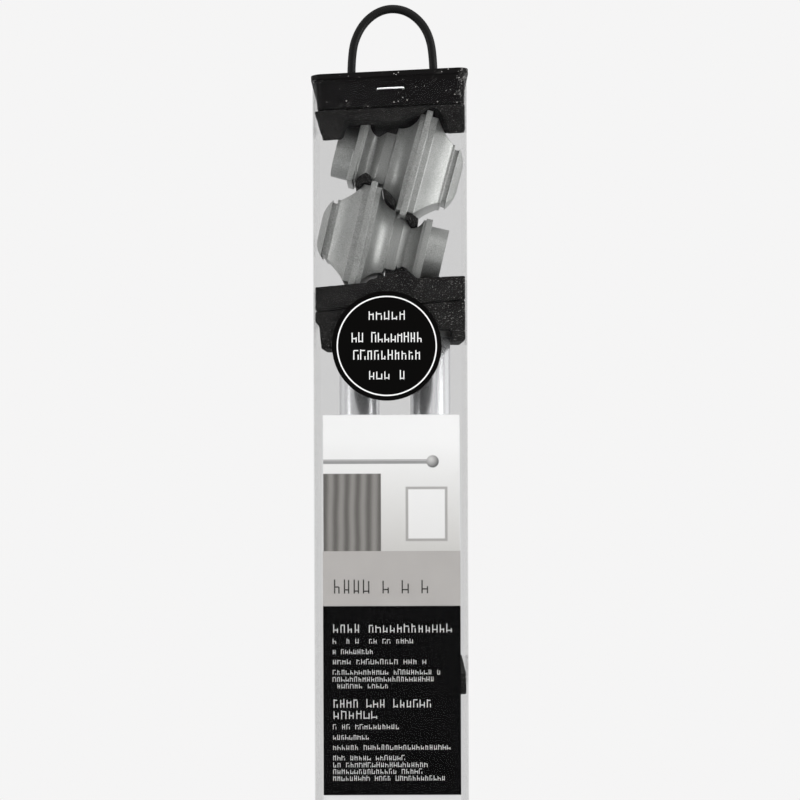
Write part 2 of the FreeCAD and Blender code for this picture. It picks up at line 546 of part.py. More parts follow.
def make_foam(doc, v, place, press_upper, press_lower):
    """The cut foam round the finials: cradle, slab, saddle and the wedges squeezed between the finials."""
    half, deep = "Places.foam_x", "Places.foam_deep"
    under = "Places.cap_under"
    leg = "-%s + Sizes.top_leg_taper" % half
    top = prism(doc, "top_cradle", [
        ("-" + half, under + " - " + half + " * Places.cap_slope"),
        ("-" + half, under + " - Sizes.cradle_side"),
        (leg + " / 2", under + " - Sizes.cradle_shoulder"),
        (leg, under + " - Sizes.top_leg"),
        (leg + " + Sizes.top_leg_wide", under + " - Sizes.top_leg"),
        (leg + " + Sizes.top_leg_wide + Sizes.notch_slope", under + " - Sizes.top_ceiling"),
        ("Sizes.ceiling_end", under + " - Sizes.top_ceiling + Sizes.ceiling_rise"),
        ("Sizes.arch_foot", under + " - Sizes.arch_drop"),
        ("Sizes.arch_left", under + " - Sizes.arch_web"),
        ("Sizes.arch_right", under + " - Sizes.arch_web"),
        (half + " - Sizes.top_leg_wide - Sizes.knee_in", under + " - Sizes.knee_drop"),
        (half + " - Sizes.top_leg_wide + Sizes.short_leg_in", under + " - Sizes.top_leg_short"),
        (half + " - Sizes.leg_chamfer", under + " - Sizes.top_leg_short"),
        (half, under + " - Sizes.top_leg_short + Sizes.leg_chamfer"),
        (half, under + " + " + half + " * Places.cap_slope")], deep)
    top = cut(doc, "cradle_blank", top, cradle_slant(doc, v, place))
    top = cut(doc, "foam_cradle", top, press_upper)
    ridge = [("%s" % x, "Places.slab_left + (%s + %s) * Places.slope + %s" % (x, half, rise))
             for x, rise in reversed(SLAB_RIDGE)]
    slab = prism(doc, "slab_block", [
        ("-" + half, "Places.seam_left"), (half, "Places.seam_right"), (half, "Places.slab_right")] + ridge + [
        ("-" + half, "Places.slab_left")], deep)
    leg_left = "Places.left_pole_x - Sizes.pole_round / 2 - Sizes.leg_gap"
    leg_right = "Places.right_pole_x + Sizes.pole_round / 2 + Sizes.leg_gap"
    low_left, low_right = "Places.pole_top - Sizes.saddle_leg", "Places.pole_top - Sizes.saddle_leg_short"
    saddle = prism(doc, "foam_saddle", [
        ("-" + half, "Places.seam_left"), ("-" + half, "Places.pole_top + Sizes.saddle_side"),
        ("-%s + Sizes.saddle_shoulder_in" % half, "Places.pole_top + Sizes.saddle_shoulder"),
        ("-%s + Sizes.saddle_taper" % half, low_left), (leg_left, low_left),
        (leg_left, "Places.pole_top"), (leg_right, "Places.pole_top"), (leg_right, low_right),
        (half + " - Sizes.saddle_chamfer", low_right), (half, low_right + " + Sizes.saddle_chamfer_tall"),
        (half, "Places.seam_right")], deep)
    wedges = [prism(doc, "wedge_%d" % number, outline, deep + " - Sizes.wedge_short",
                    ("Places.low_x", "0", "Places.low_z"), "Places.nest_tilt")
              for number, outline in enumerate(WEDGES, 1)]
    return top, cut(doc, "foam_slab", slab, press_lower), saddle, group(doc, "foam_wedges", wedges)


def make_spacer(doc, name, low, thick, left, wide, front_gap, hole_low=None):
    """A block of foam across the sleeve, bored for both poles."""
    block = box(doc, name + "_block", (wide, "Places.foam_deep - (%s)" % front_gap, thick),
                (left, "-Places.foam_deep / 2 + (%s)" % front_gap, low))
    bores = [rod(doc, "%s_bore_%s" % (name, side), "Sizes.pole_round / 2 + Sizes.slide_gap", "2 * (%s)" % thick,
                 ("Places.%s_pole_x" % side, "-Sizes.pole_forward", hole_low or "(%s) - (%s) / 2" % (low, thick)))
             for side in ("left", "right")]
    return cut(doc, name, block, join(doc, name + "_bores", bores))


def tube(doc, name, outside, wall, length, spot):
    """A round tube standing on its spot."""
    x, y, z = spot
    outer = rod(doc, name + "_outside", outside, length, spot)
    bore = rod(doc, name + "_bore", "%s - %s" % (outside, wall), "%s + 2 * Sizes.fit" % length,
               (x, y, "%s - Sizes.fit" % z))
    return cut(doc, name, outer, bore)


def make_pole(doc, side, head):
    """One telescoping pole: outer tube, inner tube and the two thin bushes between them."""
    x, y = "Places.%s_pole_x" % side, "-Sizes.pole_forward"
    low = "(Places.foot + %s)" % head
    outer = tube(doc, side + "_pole_outer", "Sizes.pole_round / 2", "Sizes.pole_wall",
                 "(Sizes.pole_long - 2 * %s)" % head, (x, y, low))
    inner = tube(doc, side + "_pole_inner", "Sizes.inner_round / 2", "Sizes.inner_wall", "Places.inner_long",
                 (x, y, low))
    bush_out = "(Sizes.pole_round / 2 - Sizes.pole_wall - Sizes.slide_gap)"
    bush_wall = "(%s - Sizes.inner_round / 2 - Sizes.slide_gap)" % bush_out
    heights = (low + " + Sizes.bush_inset", low + " + Places.inner_long - Sizes.bush_inset - Sizes.bush_long")
    bushes = group(doc, side + "_pole_bushes", [
        tube(doc, "%s_bush_%d" % (side, i), bush_out, bush_wall, "Sizes.bush_long", (x, y, height))
        for i, height in enumerate(heights, 1)])
    return [outer, inner, bushes]


def make_end_plugs(doc):
    """The two push-in plugs that close the ends of the back pole."""
    x, y = "Places.right_pole_x", "-Sizes.pole_forward"
    plugs = []
    for name, head_low, shank_low, wall in (
            ("low_plug", "Places.foot", "Places.foot + Sizes.end_plug_head",
             "Sizes.inner_round / 2 - Sizes.inner_wall"),
            ("high_plug", "Places.pole_top - Sizes.end_plug_head",
             "Places.pole_top - Sizes.end_plug_head - Sizes.end_plug_long",
             "Sizes.pole_round / 2 - Sizes.pole_wall")):
        head = rod(doc, name + "_head", "Sizes.pole_round / 2", "Sizes.end_plug_head", (x, y, head_low))
        shank = rod(doc, name + "_shank", wall + " - Sizes.slide_gap", "Sizes.end_plug_long", (x, y, shank_low))
        plugs.append(join(doc, name, [head, shank]))
    return group(doc, "back_pole_plugs", plugs)


def make_bracket(doc, number, low):
    """One double bracket: wall plate, arm and two open cups, screwed to a wall through two holes."""
    name, y, wide = "bracket_%d" % number, "Places.bracket_y", "Sizes.bracket_wide"
    half_strap = "Sizes.strap_thick / 2"
    solids = [
        box(doc, name + "_plate", ("Places.plate_tall", wide, "Sizes.strap_thick"),
            ("-Places.plate_tall / 2", y, low)),
        box(doc, name + "_arm", ("Sizes.strap_thick", wide, "Sizes.front_cup_at"),
            ("-" + half_strap, y, low))]
    cuts = []
    for cup in ("back", "front"):
        middle = "%s + Sizes.%s_cup_at" % (low, cup)
        part_name = "%s_%s_cup" % (name, cup)
        solids.append(rod(doc, part_name, "Places.cup_out", wide, ("Places.cup_x", y, middle), along="y"))
        solids.append(box(doc, part_name + "_lips", ("Sizes.cup_lip", wide, "2 * Places.cup_out"),
                          ("Places.cup_x", y, middle + " - Places.cup_out")))
        cuts.append(rod(doc, part_name + "_seat", "Places.cup_in", wide, ("Places.cup_x", y, middle), along="y"))
        cuts.append(box(doc, part_name + "_mouth", ("Places.cup_out + Sizes.cup_lip", wide, "2 * Places.cup_in"),
                        ("Places.cup_x", y, middle + " - Places.cup_in")))
        cuts.append(rod(doc, part_name + "_tapping", "Sizes.thumb_round / 2 + Sizes.slide_gap",
                        "Places.cup_out", ("Places.cup_x", y + " + %s / 2" % wide, middle)))
    for sign in "-+":
        cuts.append(rod(doc, "%s_hole_%s" % (name, "left" if sign == "-" else "right"), "Sizes.plate_hole / 2",
                        "2 * Sizes.strap_thick", ("0 %s Places.hole_apart / 2" % sign, y + " + %s / 2" % wide,
                                                  low + " - " + half_strap)))
    return cut(doc, name, join(doc, name + "_solid", solids), join(doc, name + "_cuts", cuts))


def make_thumb_screws(doc, lows):
    """The thumb screws that lock a pole in each cup, one group of six."""
    y = "Places.bracket_y + Sizes.bracket_wide / 2"
    screws = []
    for number, low in enumerate(lows, 1):
        for cup in ("back", "front"):
            name = "thumb_%d_%s" % (number, cup)
            start = "%s + Sizes.%s_cup_at + Places.cup_in" % (low, cup)
            screws.append(join(doc, name, [
                rod(doc, name + "_shank", "Sizes.thumb_round / 2", "Sizes.thumb_long", ("Places.cup_x", y, start)),
                rod(doc, name + "_head", "Sizes.thumb_head / 2", "Sizes.thumb_head_long",
                    ("Places.cup_x", y, start + " + Sizes.thumb_long"))]))
    return group(doc, "thumb_screws", screws)


def make_fixings(doc):
    """The bag of fixings: thin film, six wall screws and six wall anchors."""
    sides = ("Places.bag_wide", "Sizes.bag_deep", "Sizes.bag_tall")
    outer = box(doc, "bag_outside", sides, ("-Places.bag_wide / 2", "Places.bag_y", "Places.spacer_top"))
    inside = box(doc, "bag_inside", tuple(side + " - 2 * Sizes.bag_film" for side in sides),
                 ("-Places.bag_wide / 2 + Sizes.bag_film", "Places.bag_y + Sizes.bag_film",
                  "Places.spacer_top + Sizes.bag_film"))
    bag = cut(doc, "fixings_bag", outer, inside)
    y = "Places.bag_y + Sizes.bag_deep / 2"
    floor = "Places.spacer_top + Sizes.bag_film + Sizes.slide_gap"
    screws, anchors = [], []
    for i in range(FIXINGS):
        x = "Sizes.fixing_pitch * %s" % (i - (FIXINGS - 1) / 2)
        name = "wall_screw_%d" % (i + 1)
        shank_low = floor + " + Sizes.screw_head_long"
        screws.append(join(doc, name, [
            cone(doc, name + "_head", ("Sizes.screw_head / 2", "Sizes.screw_round / 2"), "Sizes.screw_head_long",
                 (x, y, floor)),
            rod(doc, name + "_shank", "Sizes.screw_round / 2", "Sizes.screw_long - 2 * Sizes.screw_head_long",
                (x, y, shank_low)),
            cone(doc, name + "_tip", ("Sizes.screw_round / 2", "Sizes.slide_gap"), "Sizes.screw_head_long",
                 (x, y, floor + " + Sizes.screw_long - Sizes.screw_head_long"))]))
        name = "wall_anchor_%d" % (i + 1)
        anchor_low = floor + " + Sizes.screw_long + Sizes.fit"
        anchors.append(cut(doc, name,
                           cone(doc, name + "_body", ("Sizes.anchor_round / 2 - Sizes.bag_film",
                                                      "Sizes.anchor_round / 2"), "Sizes.anchor_long",
                                (x, y, anchor_low)),
                           rod(doc, name + "_bore", "Sizes.anchor_bore / 2", "Sizes.anchor_long",
                               (x, y, anchor_low + " + Sizes.screw_head_long"))))
    return [bag, group(doc, "wall_screws", screws), group(doc, "wall_anchors", anchors)]


def make_print(doc):
    """The printed card behind the front wall and the round sticker on it."""
    card = box(doc, "insert_card", ("Places.card_wide", "Sizes.card_thick", "Sizes.card_tall"),
               ("Sizes.card_off - Places.card_wide / 2", "-Places.inner_y + Sizes.slide_gap",
                "Places.sleeve_top - Sizes.card_drop - Sizes.card_tall"))
    sticker = rod(doc, "round_sticker", "Sizes.sticker_round / 2", "Sizes.sticker_thick",
                  ("-Sizes.sticker_off", "-Sizes.sleeve_deep / 2 - Sizes.sticker_thick",
                   "Places.sleeve_top - Sizes.sticker_drop"), along="y")
    return [card, sticker]


def build():
    """The whole pack: a list of the pieces by node name."""
    doc = FreeCAD.newDocument("double_curtain_pole")
    sizes, places = make_sheets(doc)
    v, place = Cells(sizes), Cells(places)
    nodes = {}

    top_cup, bottom_cap = make_caps(doc, v, place)
    staple, holes = make_staple(doc, v, place)
    nodes["clear_sleeve"] = cut(doc, "clear_sleeve", make_sleeve(doc), holes)
    nodes["top_cap"] = cut(doc, "top_cap", top_cup, holes)
    nodes["bottom_cap"] = bottom_cap
    nodes["staple"] = staple
    nodes["hang_loop"] = make_loop(doc, v, place)

    turned = []
    for name, x, z, tilt in (("upper", place.up_x, place.up_z, v.tilt_upper),
                             ("lower", place.low_x, place.low_z, 180 + v.tilt_lower)):
        turn = FreeCAD.Rotation(FreeCAD.Vector(0, 1, 0), tilt)
        start = FreeCAD.Vector(x, 0, z) - turn.multVec(FreeCAD.Vector(place.plate_mid, 0, 0))
        spot = FreeCAD.Placement(start, turn)
        nodes[name + "_finial"] = feature(doc, name + "_finial", finial_shape(v, place), spot)
        turned.append(feature(doc, name + "_press", press_shape(v, place), spot))

    foam_names = ("foam_cradle", "foam_slab", "foam_saddle", "foam_wedges")
    nodes.update(zip(foam_names, make_foam(doc, v, place, *turned)))
    card_room = "Sizes.card_thick + Sizes.slide_gap"
    for name, low in (("upper_spacer", "Places.spacer_top - Sizes.spacer_thick"),
                      ("lower_spacer", "Places.rest_top - Sizes.spacer_thick")):
        nodes[name] = make_spacer(doc, name, low, "Sizes.spacer_thick", "Places.foam_x - Places.spacer_wide",
                                  "Places.spacer_wide", card_room)
    nodes["base_foam"] = make_spacer(doc, "base_foam", "Places.cap_top", "Sizes.base_foam_thick",
                                     "-Places.foam_x", "2 * Places.foam_x", "0", "Places.foot")

    for side, head in (("left", "0"), ("right", "Sizes.end_plug_head")):
        for piece in make_pole(doc, side, head):
            nodes[piece.Name] = piece
    nodes["back_pole_plugs"] = make_end_plugs(doc)

    lows = ["(Places.rest_top + %d * Places.bracket_pitch)" % i for i in range(BRACKETS)]
    for number, low in enumerate(lows, 1):
        nodes["bracket_%d" % number] = make_bracket(doc, number, low)
    nodes["thumb_screws"] = make_thumb_screws(doc, lows)
    for piece in make_fixings(doc) + make_print(doc):
        nodes[piece.Name] = piece
    for name, piece in nodes.items():
        piece.Label = name
    doc.recompute()
    return doc, nodes


def check(doc, nodes):
    """Stops if any object failed or any piece is not a sound solid."""
    for thing in doc.Objects:
        if {"Invalid", "Error"} & set(thing.State):
            raise RuntimeError("failed: %s %s" % (thing.Name, thing.State))
    for name, piece in nodes.items():
        if piece.Shape.isNull() or not piece.Shape.isValid() or piece.Shape.Volume <= 0:
            raise RuntimeError("not a sound solid: " + name)


def write(nodes):
    """One STEP file for each piece."""
    os.makedirs("parts", exist_ok=True)
    for name, piece in nodes.items():
        piece.Shape.exportStep("parts/%s.step" % name)
        size = piece.Shape.BoundBox
        print("%-20s %2d solids  %8.1f mm3  z %.1f to %.1f" % (
            name, len(piece.Shape.Solids), piece.Shape.Volume, size.ZMin, size.ZMax))


document, pieces = build()
check(document, pieces)
write(pieces)
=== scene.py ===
import math

import bmesh
import bpy
from mathutils import Matrix, Vector, noise
from mathutils.bvhtree import BVHTree


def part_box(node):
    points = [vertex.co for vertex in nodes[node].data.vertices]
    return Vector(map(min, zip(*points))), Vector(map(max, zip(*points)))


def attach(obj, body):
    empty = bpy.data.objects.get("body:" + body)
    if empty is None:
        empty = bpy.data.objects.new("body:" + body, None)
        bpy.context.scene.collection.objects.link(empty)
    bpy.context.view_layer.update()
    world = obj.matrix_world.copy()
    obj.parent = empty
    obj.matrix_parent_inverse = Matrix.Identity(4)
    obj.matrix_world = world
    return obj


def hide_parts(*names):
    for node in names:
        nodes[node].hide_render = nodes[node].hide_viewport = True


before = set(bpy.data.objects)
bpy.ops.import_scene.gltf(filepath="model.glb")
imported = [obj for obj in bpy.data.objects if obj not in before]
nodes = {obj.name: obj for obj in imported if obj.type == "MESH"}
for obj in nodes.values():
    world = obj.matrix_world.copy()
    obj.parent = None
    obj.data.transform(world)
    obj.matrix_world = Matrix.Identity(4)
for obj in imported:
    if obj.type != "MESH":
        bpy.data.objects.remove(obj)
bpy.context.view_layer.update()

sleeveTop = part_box("clear_sleeve")[1][2]
frontWall = -0.0285  # the sleeve's front face

# Camera: level, square to the front face, a little right of the middle
camera = dict(across=0.0043, belowTop=0.1474, distance=0.740, lens=72.4, roll=0.2)


def makeCamera():
    data = bpy.data.cameras.new("packCamera")
    data.lens = camera["lens"]
    data.sensor_width = 36
    data.sensor_fit = "HORIZONTAL"
    data.clip_start = 0.02
    item = bpy.data.objects.new("packCamera", data)
    bpy.context.scene.collection.objects.link(item)
    item.location = (camera["across"], frontWall - camera["distance"], sleeveTop - camera["belowTop"])
    item.rotation_euler = (math.radians(90), math.radians(camera["roll"]), 0)
    bpy.context.scene.camera = item


makeCamera()
print("camera set")

# Shared shader groups


def newGroup(name, inputs, outputs):
    tree = bpy.data.node_groups.new(name, "ShaderNodeTree")
    for title, kind, value in inputs:
        socket = tree.interface.new_socket(name=title, in_out="INPUT", socket_type=kind)
        if value is not None:
            socket.default_value = value
    for title, kind in outputs:
        tree.interface.new_socket(name=title, in_out="OUTPUT", socket_type=kind)
    return tree, tree.nodes.new("NodeGroupInput"), tree.nodes.new("NodeGroupOutput")


def addNode(tree, kind, inputs=None, **settings):
    node = tree.nodes.new(kind)
    for key, value in settings.items():
        setattr(node, key, value)
    for key, value in (inputs or {}).items():
        socket = node.inputs[key]
        if isinstance(value, bpy.types.NodeSocket):
            tree.links.new(value, socket)
        else:
            socket.default_value = value
    return node


def ramp(tree, value, low, high, outLow=0.0, outHigh=1.0):
    node = addNode(tree, "ShaderNodeMapRange", {0: value, 1: low, 2: high, 3: outLow, 4: outHigh}, clamp=True)
    return node.outputs[0]


def mathNode(tree, operation, first, second):
    return addNode(tree, "ShaderNodeMath", {0: first, 1: second}, operation=operation).outputs[0]


def plus(tree, first, second):
    return mathNode(tree, "ADD", first, second)


def minus(tree, first, second):
    return mathNode(tree, "SUBTRACT", first, second)


def times(tree, first, second):
    return mathNode(tree, "MULTIPLY", first, second)


def mixColor(tree, factor, first, second):
    node = addNode(tree, "ShaderNodeMix", data_type="RGBA")
    for index, value in ((0, factor), (6, first), (7, second)):
        if isinstance(value, bpy.types.NodeSocket):
            tree.links.new(value, node.inputs[index])
        else:
            node.inputs[index].default_value = value
    return node.outputs[2]


def makeSpecksGroup():
    # pale dust: small round grains of uneven size that lie more thickly in patches
    tree, given, made = newGroup("dustSpecks", [
        ("Vector", "NodeSocketVector", None), ("Scale", "NodeSocketFloat", 900.0),
        ("Grain Size", "NodeSocketFloat", 0.16), ("Patchiness", "NodeSocketFloat", 40.0),
        ("Cover", "NodeSocketFloat", 0.5)], [("Mask", "NodeSocketFloat")])
    grains = addNode(tree, "ShaderNodeTexVoronoi", {"Vector": given.outputs[0], "Scale": given.outputs[1]})
    patches = addNode(tree, "ShaderNodeTexNoise", {
        "Vector": given.outputs[0], "Scale": given.outputs[3], "Detail": 3.0, "Roughness": 0.6})
    picked = addNode(tree, "ShaderNodeSeparateColor", {0: grains.outputs["Color"]})
    reach = times(tree, given.outputs[2], picked.outputs[1])
    dots = mathNode(tree, "LESS_THAN", grains.outputs["Distance"], reach)
    gate = times(tree, patches.outputs[0], given.outputs[4])
    chosen = mathNode(tree, "LESS_THAN", picked.outputs[0], gate)
    tree.links.new(times(tree, dots, chosen), made.inputs[0])
    return tree


def makeGrainGroup():
    # two scales of unevenness for a moulded, coated or printed surface
    tree, given, made = newGroup("surfaceGrain", [
        ("Vector", "NodeSocketVector", None), ("Fine Scale", "NodeSocketFloat", 1500.0),
        ("Broad Scale", "NodeSocketFloat", 60.0), ("Fine Share", "NodeSocketFloat", 0.5)],
        [("Height", "NodeSocketFloat"), ("Mottle", "NodeSocketFloat")])
    fine = addNode(tree, "ShaderNodeTexNoise", {
        "Vector": given.outputs[0], "Scale": given.outputs[1], "Detail": 2.0})
    broad = addNode(tree, "ShaderNodeTexNoise", {
        "Vector": given.outputs[0], "Scale": given.outputs[2], "Detail": 4.0, "Roughness": 0.55})
    mix = addNode(tree, "ShaderNodeMix", data_type="FLOAT")
    tree.links.new(given.outputs[3], mix.inputs[0])
    tree.links.new(broad.outputs[0], mix.inputs[2])
    tree.links.new(fine.outputs[0], mix.inputs[3])
    tree.links.new(mix.outputs[0], made.inputs[0])
    tree.links.new(broad.outputs[0], made.inputs[1])
    return tree


def makeScuffGroup():
    # thin rubbed marks, longer one way, as handling leaves on plastic and sheet
    tree, given, made = newGroup("handlingScuffs", [
        ("Vector", "NodeSocketVector", None), ("Scale", "NodeSocketFloat", 90.0),
        ("Stretch", "NodeSocketFloat", 9.0), ("Amount", "NodeSocketFloat", 0.3)],
        [("Mask", "NodeSocketFloat")])
    turned = addNode(tree, "ShaderNodeMapping", {"Vector": given.outputs[0], "Rotation": (0.3, 0.9, 0.5)})
    axes = addNode(tree, "ShaderNodeSeparateXYZ", {0: turned.outputs[0]})
    longWay = times(tree, axes.outputs[0], given.outputs[2])
    squeezed = addNode(tree, "ShaderNodeCombineXYZ", {0: longWay, 1: axes.outputs[1], 2: axes.outputs[2]})
    marks = addNode(tree, "ShaderNodeTexNoise", {
        "Vector": squeezed.outputs[0], "Scale": given.outputs[1], "Detail": 5.0, "Roughness": 0.7})
    floor = minus(tree, 0.82, times(tree, given.outputs[3], 0.35))
    top = plus(tree, floor, 0.12)
    ranged = addNode(tree, "ShaderNodeMapRange", {0: marks.outputs[0], 1: floor, 2: top}, clamp=True)
    tree.links.new(ranged.outputs[0], made.inputs[0])
    return tree


def makeAreaGroup():
    # a soft-edged rectangle across and up
    tree, given, made = newGroup("flatArea", [
        ("Vector", "NodeSocketVector", None), ("Left", "NodeSocketFloat", 0.0),
        ("Right", "NodeSocketFloat", 0.01), ("Low", "NodeSocketFloat", 0.0),
        ("High", "NodeSocketFloat", 0.01), ("Soft", "NodeSocketFloat", 0.0003)],
        [("Mask", "NodeSocketFloat")])
    axes = addNode(tree, "ShaderNodeSeparateXYZ", {0: given.outputs[0]})
    sides = []
    for axis, low, high in ((0, 1, 2), (2, 3, 4)):
        for edge, sign in ((low, 1.0), (high, -1.0)):
            past = times(tree, minus(tree, axes.outputs[axis], given.outputs[edge]), sign)
            share = addNode(tree, "ShaderNodeMath", {0: past, 1: given.outputs[5]}, operation="DIVIDE",
                            use_clamp=True)
            sides.append(share.outputs[0])
    mask = times(tree, times(tree, sides[0], sides[1]), times(tree, sides[2], sides[3]))
    tree.links.new(mask, made.inputs[0])
    return tree


specksGroup = makeSpecksGroup()
grainGroup = makeGrainGroup()
scuffGroup = makeScuffGroup()
areaGroup = makeAreaGroup()


def placeGroup(tree, group, vector, **values):
    node = tree.nodes.new("ShaderNodeGroup")
    node.node_tree = group
    tree.links.new(vector, node.inputs[0])
    for key, value in values.items():
        node.inputs[key.replace("_", " ")].default_value = value
    return node


def newMaterial(name, color, roughness, metallic=0.0, **sockets):
    # a Principled material with Object coordinates ready to use
    material = bpy.data.materials.new(name)
    material.use_nodes = True
    tree = material.node_tree
    shader = tree.nodes["Principled BSDF"]
    shader.inputs["Base Color"].default_value = (*color, 1)
    shader.inputs["Roughness"].default_value = roughness
    shader.inputs["Metallic"].default_value = metallic
    for key, value in sockets.items():
        shader.inputs[key.replace("_", " ")].default_value = value
    coords = addNode(tree, "ShaderNodeTexCoord")
    return material, tree, shader, coords.outputs["Object"]


def bumpFrom(tree, shader, height, strength, distance):
    bump = addNode(tree, "ShaderNodeBump", {"Height": height, "Strength": strength, "Distance": distance})
    tree.links.new(bump.outputs[0], shader.inputs["Normal"])


# Materials

# Clear film: thin where it faces the viewer, denser at a slant and where it is scuffed
film = dict(color=(0.012, 0.012, 0.0125), roughness=0.08, gloss=0.12, faceOn=0.10, slanted=0.30, scuffed=0.06)


def makeClearSheet():
    material, tree, shader, spot = newMaterial("clearSheet", film["color"], film["roughness"],
                                               Specular_IOR_Level=film["gloss"])
    grazing = addNode(tree, "ShaderNodeLayerWeight", {"Blend": 0.35})
    scuffs = placeGroup(tree, scuffGroup, spot, Scale=34.0, Stretch=0.25, Amount=0.42)
    veil = ramp(tree, grazing.outputs["Facing"], 0.25, 1.0, film["faceOn"], film["slanted"])
    alpha = plus(tree, veil, times(tree, scuffs.outputs[0], film["scuffed"]))
    tree.links.new(alpha, shader.inputs["Alpha"])
    grain = placeGroup(tree, grainGroup, spot, Fine_Scale=300.0, Broad_Scale=14.0, Fine_Share=0.06)
    bumpFrom(tree, shader, grain.outputs[0], 0.35, 0.002)
    return material


# Cap plastic: near black, with pale rubs and chips that gather at the right-hand corner
capWear = dict(black=(0.0045, 0.0042, 0.0042), gloss=0.04, rubbed=(0.34, 0.33, 0.32), cornerFrom=0.026,
               cornerTo=0.036)


def makeBlackCapPlastic():
    material, tree, shader, spot = newMaterial("blackCapPlastic", capWear["black"], 0.3,
                                               Specular_IOR_Level=capWear["gloss"])
    grain = placeGroup(tree, grainGroup, spot, Fine_Scale=1400.0, Broad_Scale=70.0, Fine_Share=0.5)
    scuffs = placeGroup(tree, scuffGroup, spot, Scale=120.0, Stretch=0.2, Amount=0.62)
    axes = addNode(tree, "ShaderNodeSeparateXYZ", {0: spot})
    corner = ramp(tree, axes.outputs[0], capWear["cornerFrom"], capWear["cornerTo"])
    rubbed = times(tree, scuffs.outputs[0], ramp(tree, corner, 0.0, 1.0, 0.1, 1.0))
    chips = placeGroup(tree, specksGroup, spot, Scale=1000.0, Grain_Size=0.34, Patchiness=150.0, Cover=0.16)
    worn = placeGroup(tree, specksGroup, spot, Scale=1300.0, Grain_Size=0.6, Patchiness=260.0, Cover=1.0)
    edgeWear = times(tree, worn.outputs[0], ramp(tree, corner, 0.4, 1.0, 0.0, 0.8))
    rubbed = mathNode(tree, "MAXIMUM", rubbed, mathNode(tree, "MAXIMUM", chips.outputs[0], edgeWear))
    tree.links.new(mixColor(tree, rubbed, (*capWear["black"], 1), (*capWear["rubbed"], 1)),
                   shader.inputs["Base Color"])
    tree.links.new(ramp(tree, grain.outputs[1], 0.3, 0.7, 0.24, 0.42), shader.inputs["Roughness"])
    bumpFrom(tree, shader, grain.outputs[0], 0.12, 0.0002)
    return material


def makeBlackCord():
    material, tree, shader, spot = newMaterial("blackCord", (0.0045, 0.0044, 0.0043), 0.42,
                                               Specular_IOR_Level=0.1)
    ribs = addNode(tree, "ShaderNodeTexWave", {
        "Vector": spot, "Scale": 480.0, "Distortion": 1.5, "Detail": 1.0}, wave_type="BANDS",
        bands_direction="DIAGONAL")
    grain = placeGroup(tree, grainGroup, spot, Fine_Scale=2200.0, Broad_Scale=160.0, Fine_Share=0.6)
    tree.links.new(ramp(tree, grain.outputs[1], 0.3, 0.7, 0.34, 0.6), shader.inputs["Roughness"])
    height = plus(tree, times(tree, ribs.outputs[1], 0.5), grain.outputs[0])
    bumpFrom(tree, shader, height, 0.25, 0.0002)
    return material


def makeStapleWire():
    material, tree, shader, spot = newMaterial("stapleWire", (0.78, 0.78, 0.79), 0.2, 1.0)
    grain = placeGroup(tree, grainGroup, spot, Fine_Scale=2500.0, Broad_Scale=300.0, Fine_Share=0.4)
    tree.links.new(ramp(tree, grain.outputs[1], 0.3, 0.7, 0.14, 0.32), shader.inputs["Roughness"])
    bumpFrom(tree, shader, grain.outputs[0], 0.1, 0.0001)
    return material


# Foam: open cells in two sizes, uneven black, and white dust that thickens towards the right
foamLook = dict(color=(0.009, 0.0088, 0.0085), dark=(0.0055, 0.0053, 0.0051), light=(0.014, 0.0136, 0.013),
                dust=(0.42, 0.41, 0.39), dustStrength=0.8, dustFrom=-0.01, dustTo=0.034,
                cover=0.4, coverBig=0.12)


def makeBlackFoam():
    material, tree, shader, spot = newMaterial("blackFoam", foamLook["color"], 0.85, Specular_IOR_Level=0.12)
    cells = addNode(tree, "ShaderNodeTexVoronoi", {"Vector": spot, "Scale": 1100.0}, feature="SMOOTH_F1")
    wide = addNode(tree, "ShaderNodeTexVoronoi", {"Vector": spot, "Scale": 420.0}, feature="SMOOTH_F1")
    grain = placeGroup(tree, grainGroup, spot, Fine_Scale=2600.0, Broad_Scale=120.0, Fine_Share=0.5)
    pits = plus(tree, cells.outputs["Distance"], wide.outputs["Distance"])
    tone = mixColor(tree, ramp(tree, grain.outputs[1], 0.35, 0.65), (*foamLook["dark"], 1),
                    (*foamLook["light"], 1))
    axes = addNode(tree, "ShaderNodeSeparateXYZ", {0: spot})
    right = ramp(tree, axes.outputs[0], foamLook["dustFrom"], foamLook["dustTo"], 0.35, 1.0)
    specks = placeGroup(tree, specksGroup, spot, Scale=1500.0, Grain_Size=0.32, Patchiness=90.0,
                        Cover=foamLook["cover"])
    big = placeGroup(tree, specksGroup, spot, Scale=820.0, Grain_Size=0.28, Patchiness=60.0,
                     Cover=foamLook["coverBig"])
    dusty = times(tree, mathNode(tree, "MAXIMUM", specks.outputs[0], big.outputs[0]), right)
    tree.links.new(mixColor(tree, times(tree, dusty, foamLook["dustStrength"]), tone, (*foamLook["dust"], 1)),
                   shader.inputs["Base Color"])
    height = plus(tree, pits, times(tree, grain.outputs[0], 0.6))
    bumpFrom(tree, shader, height, 0.7, 0.0006)
    return material


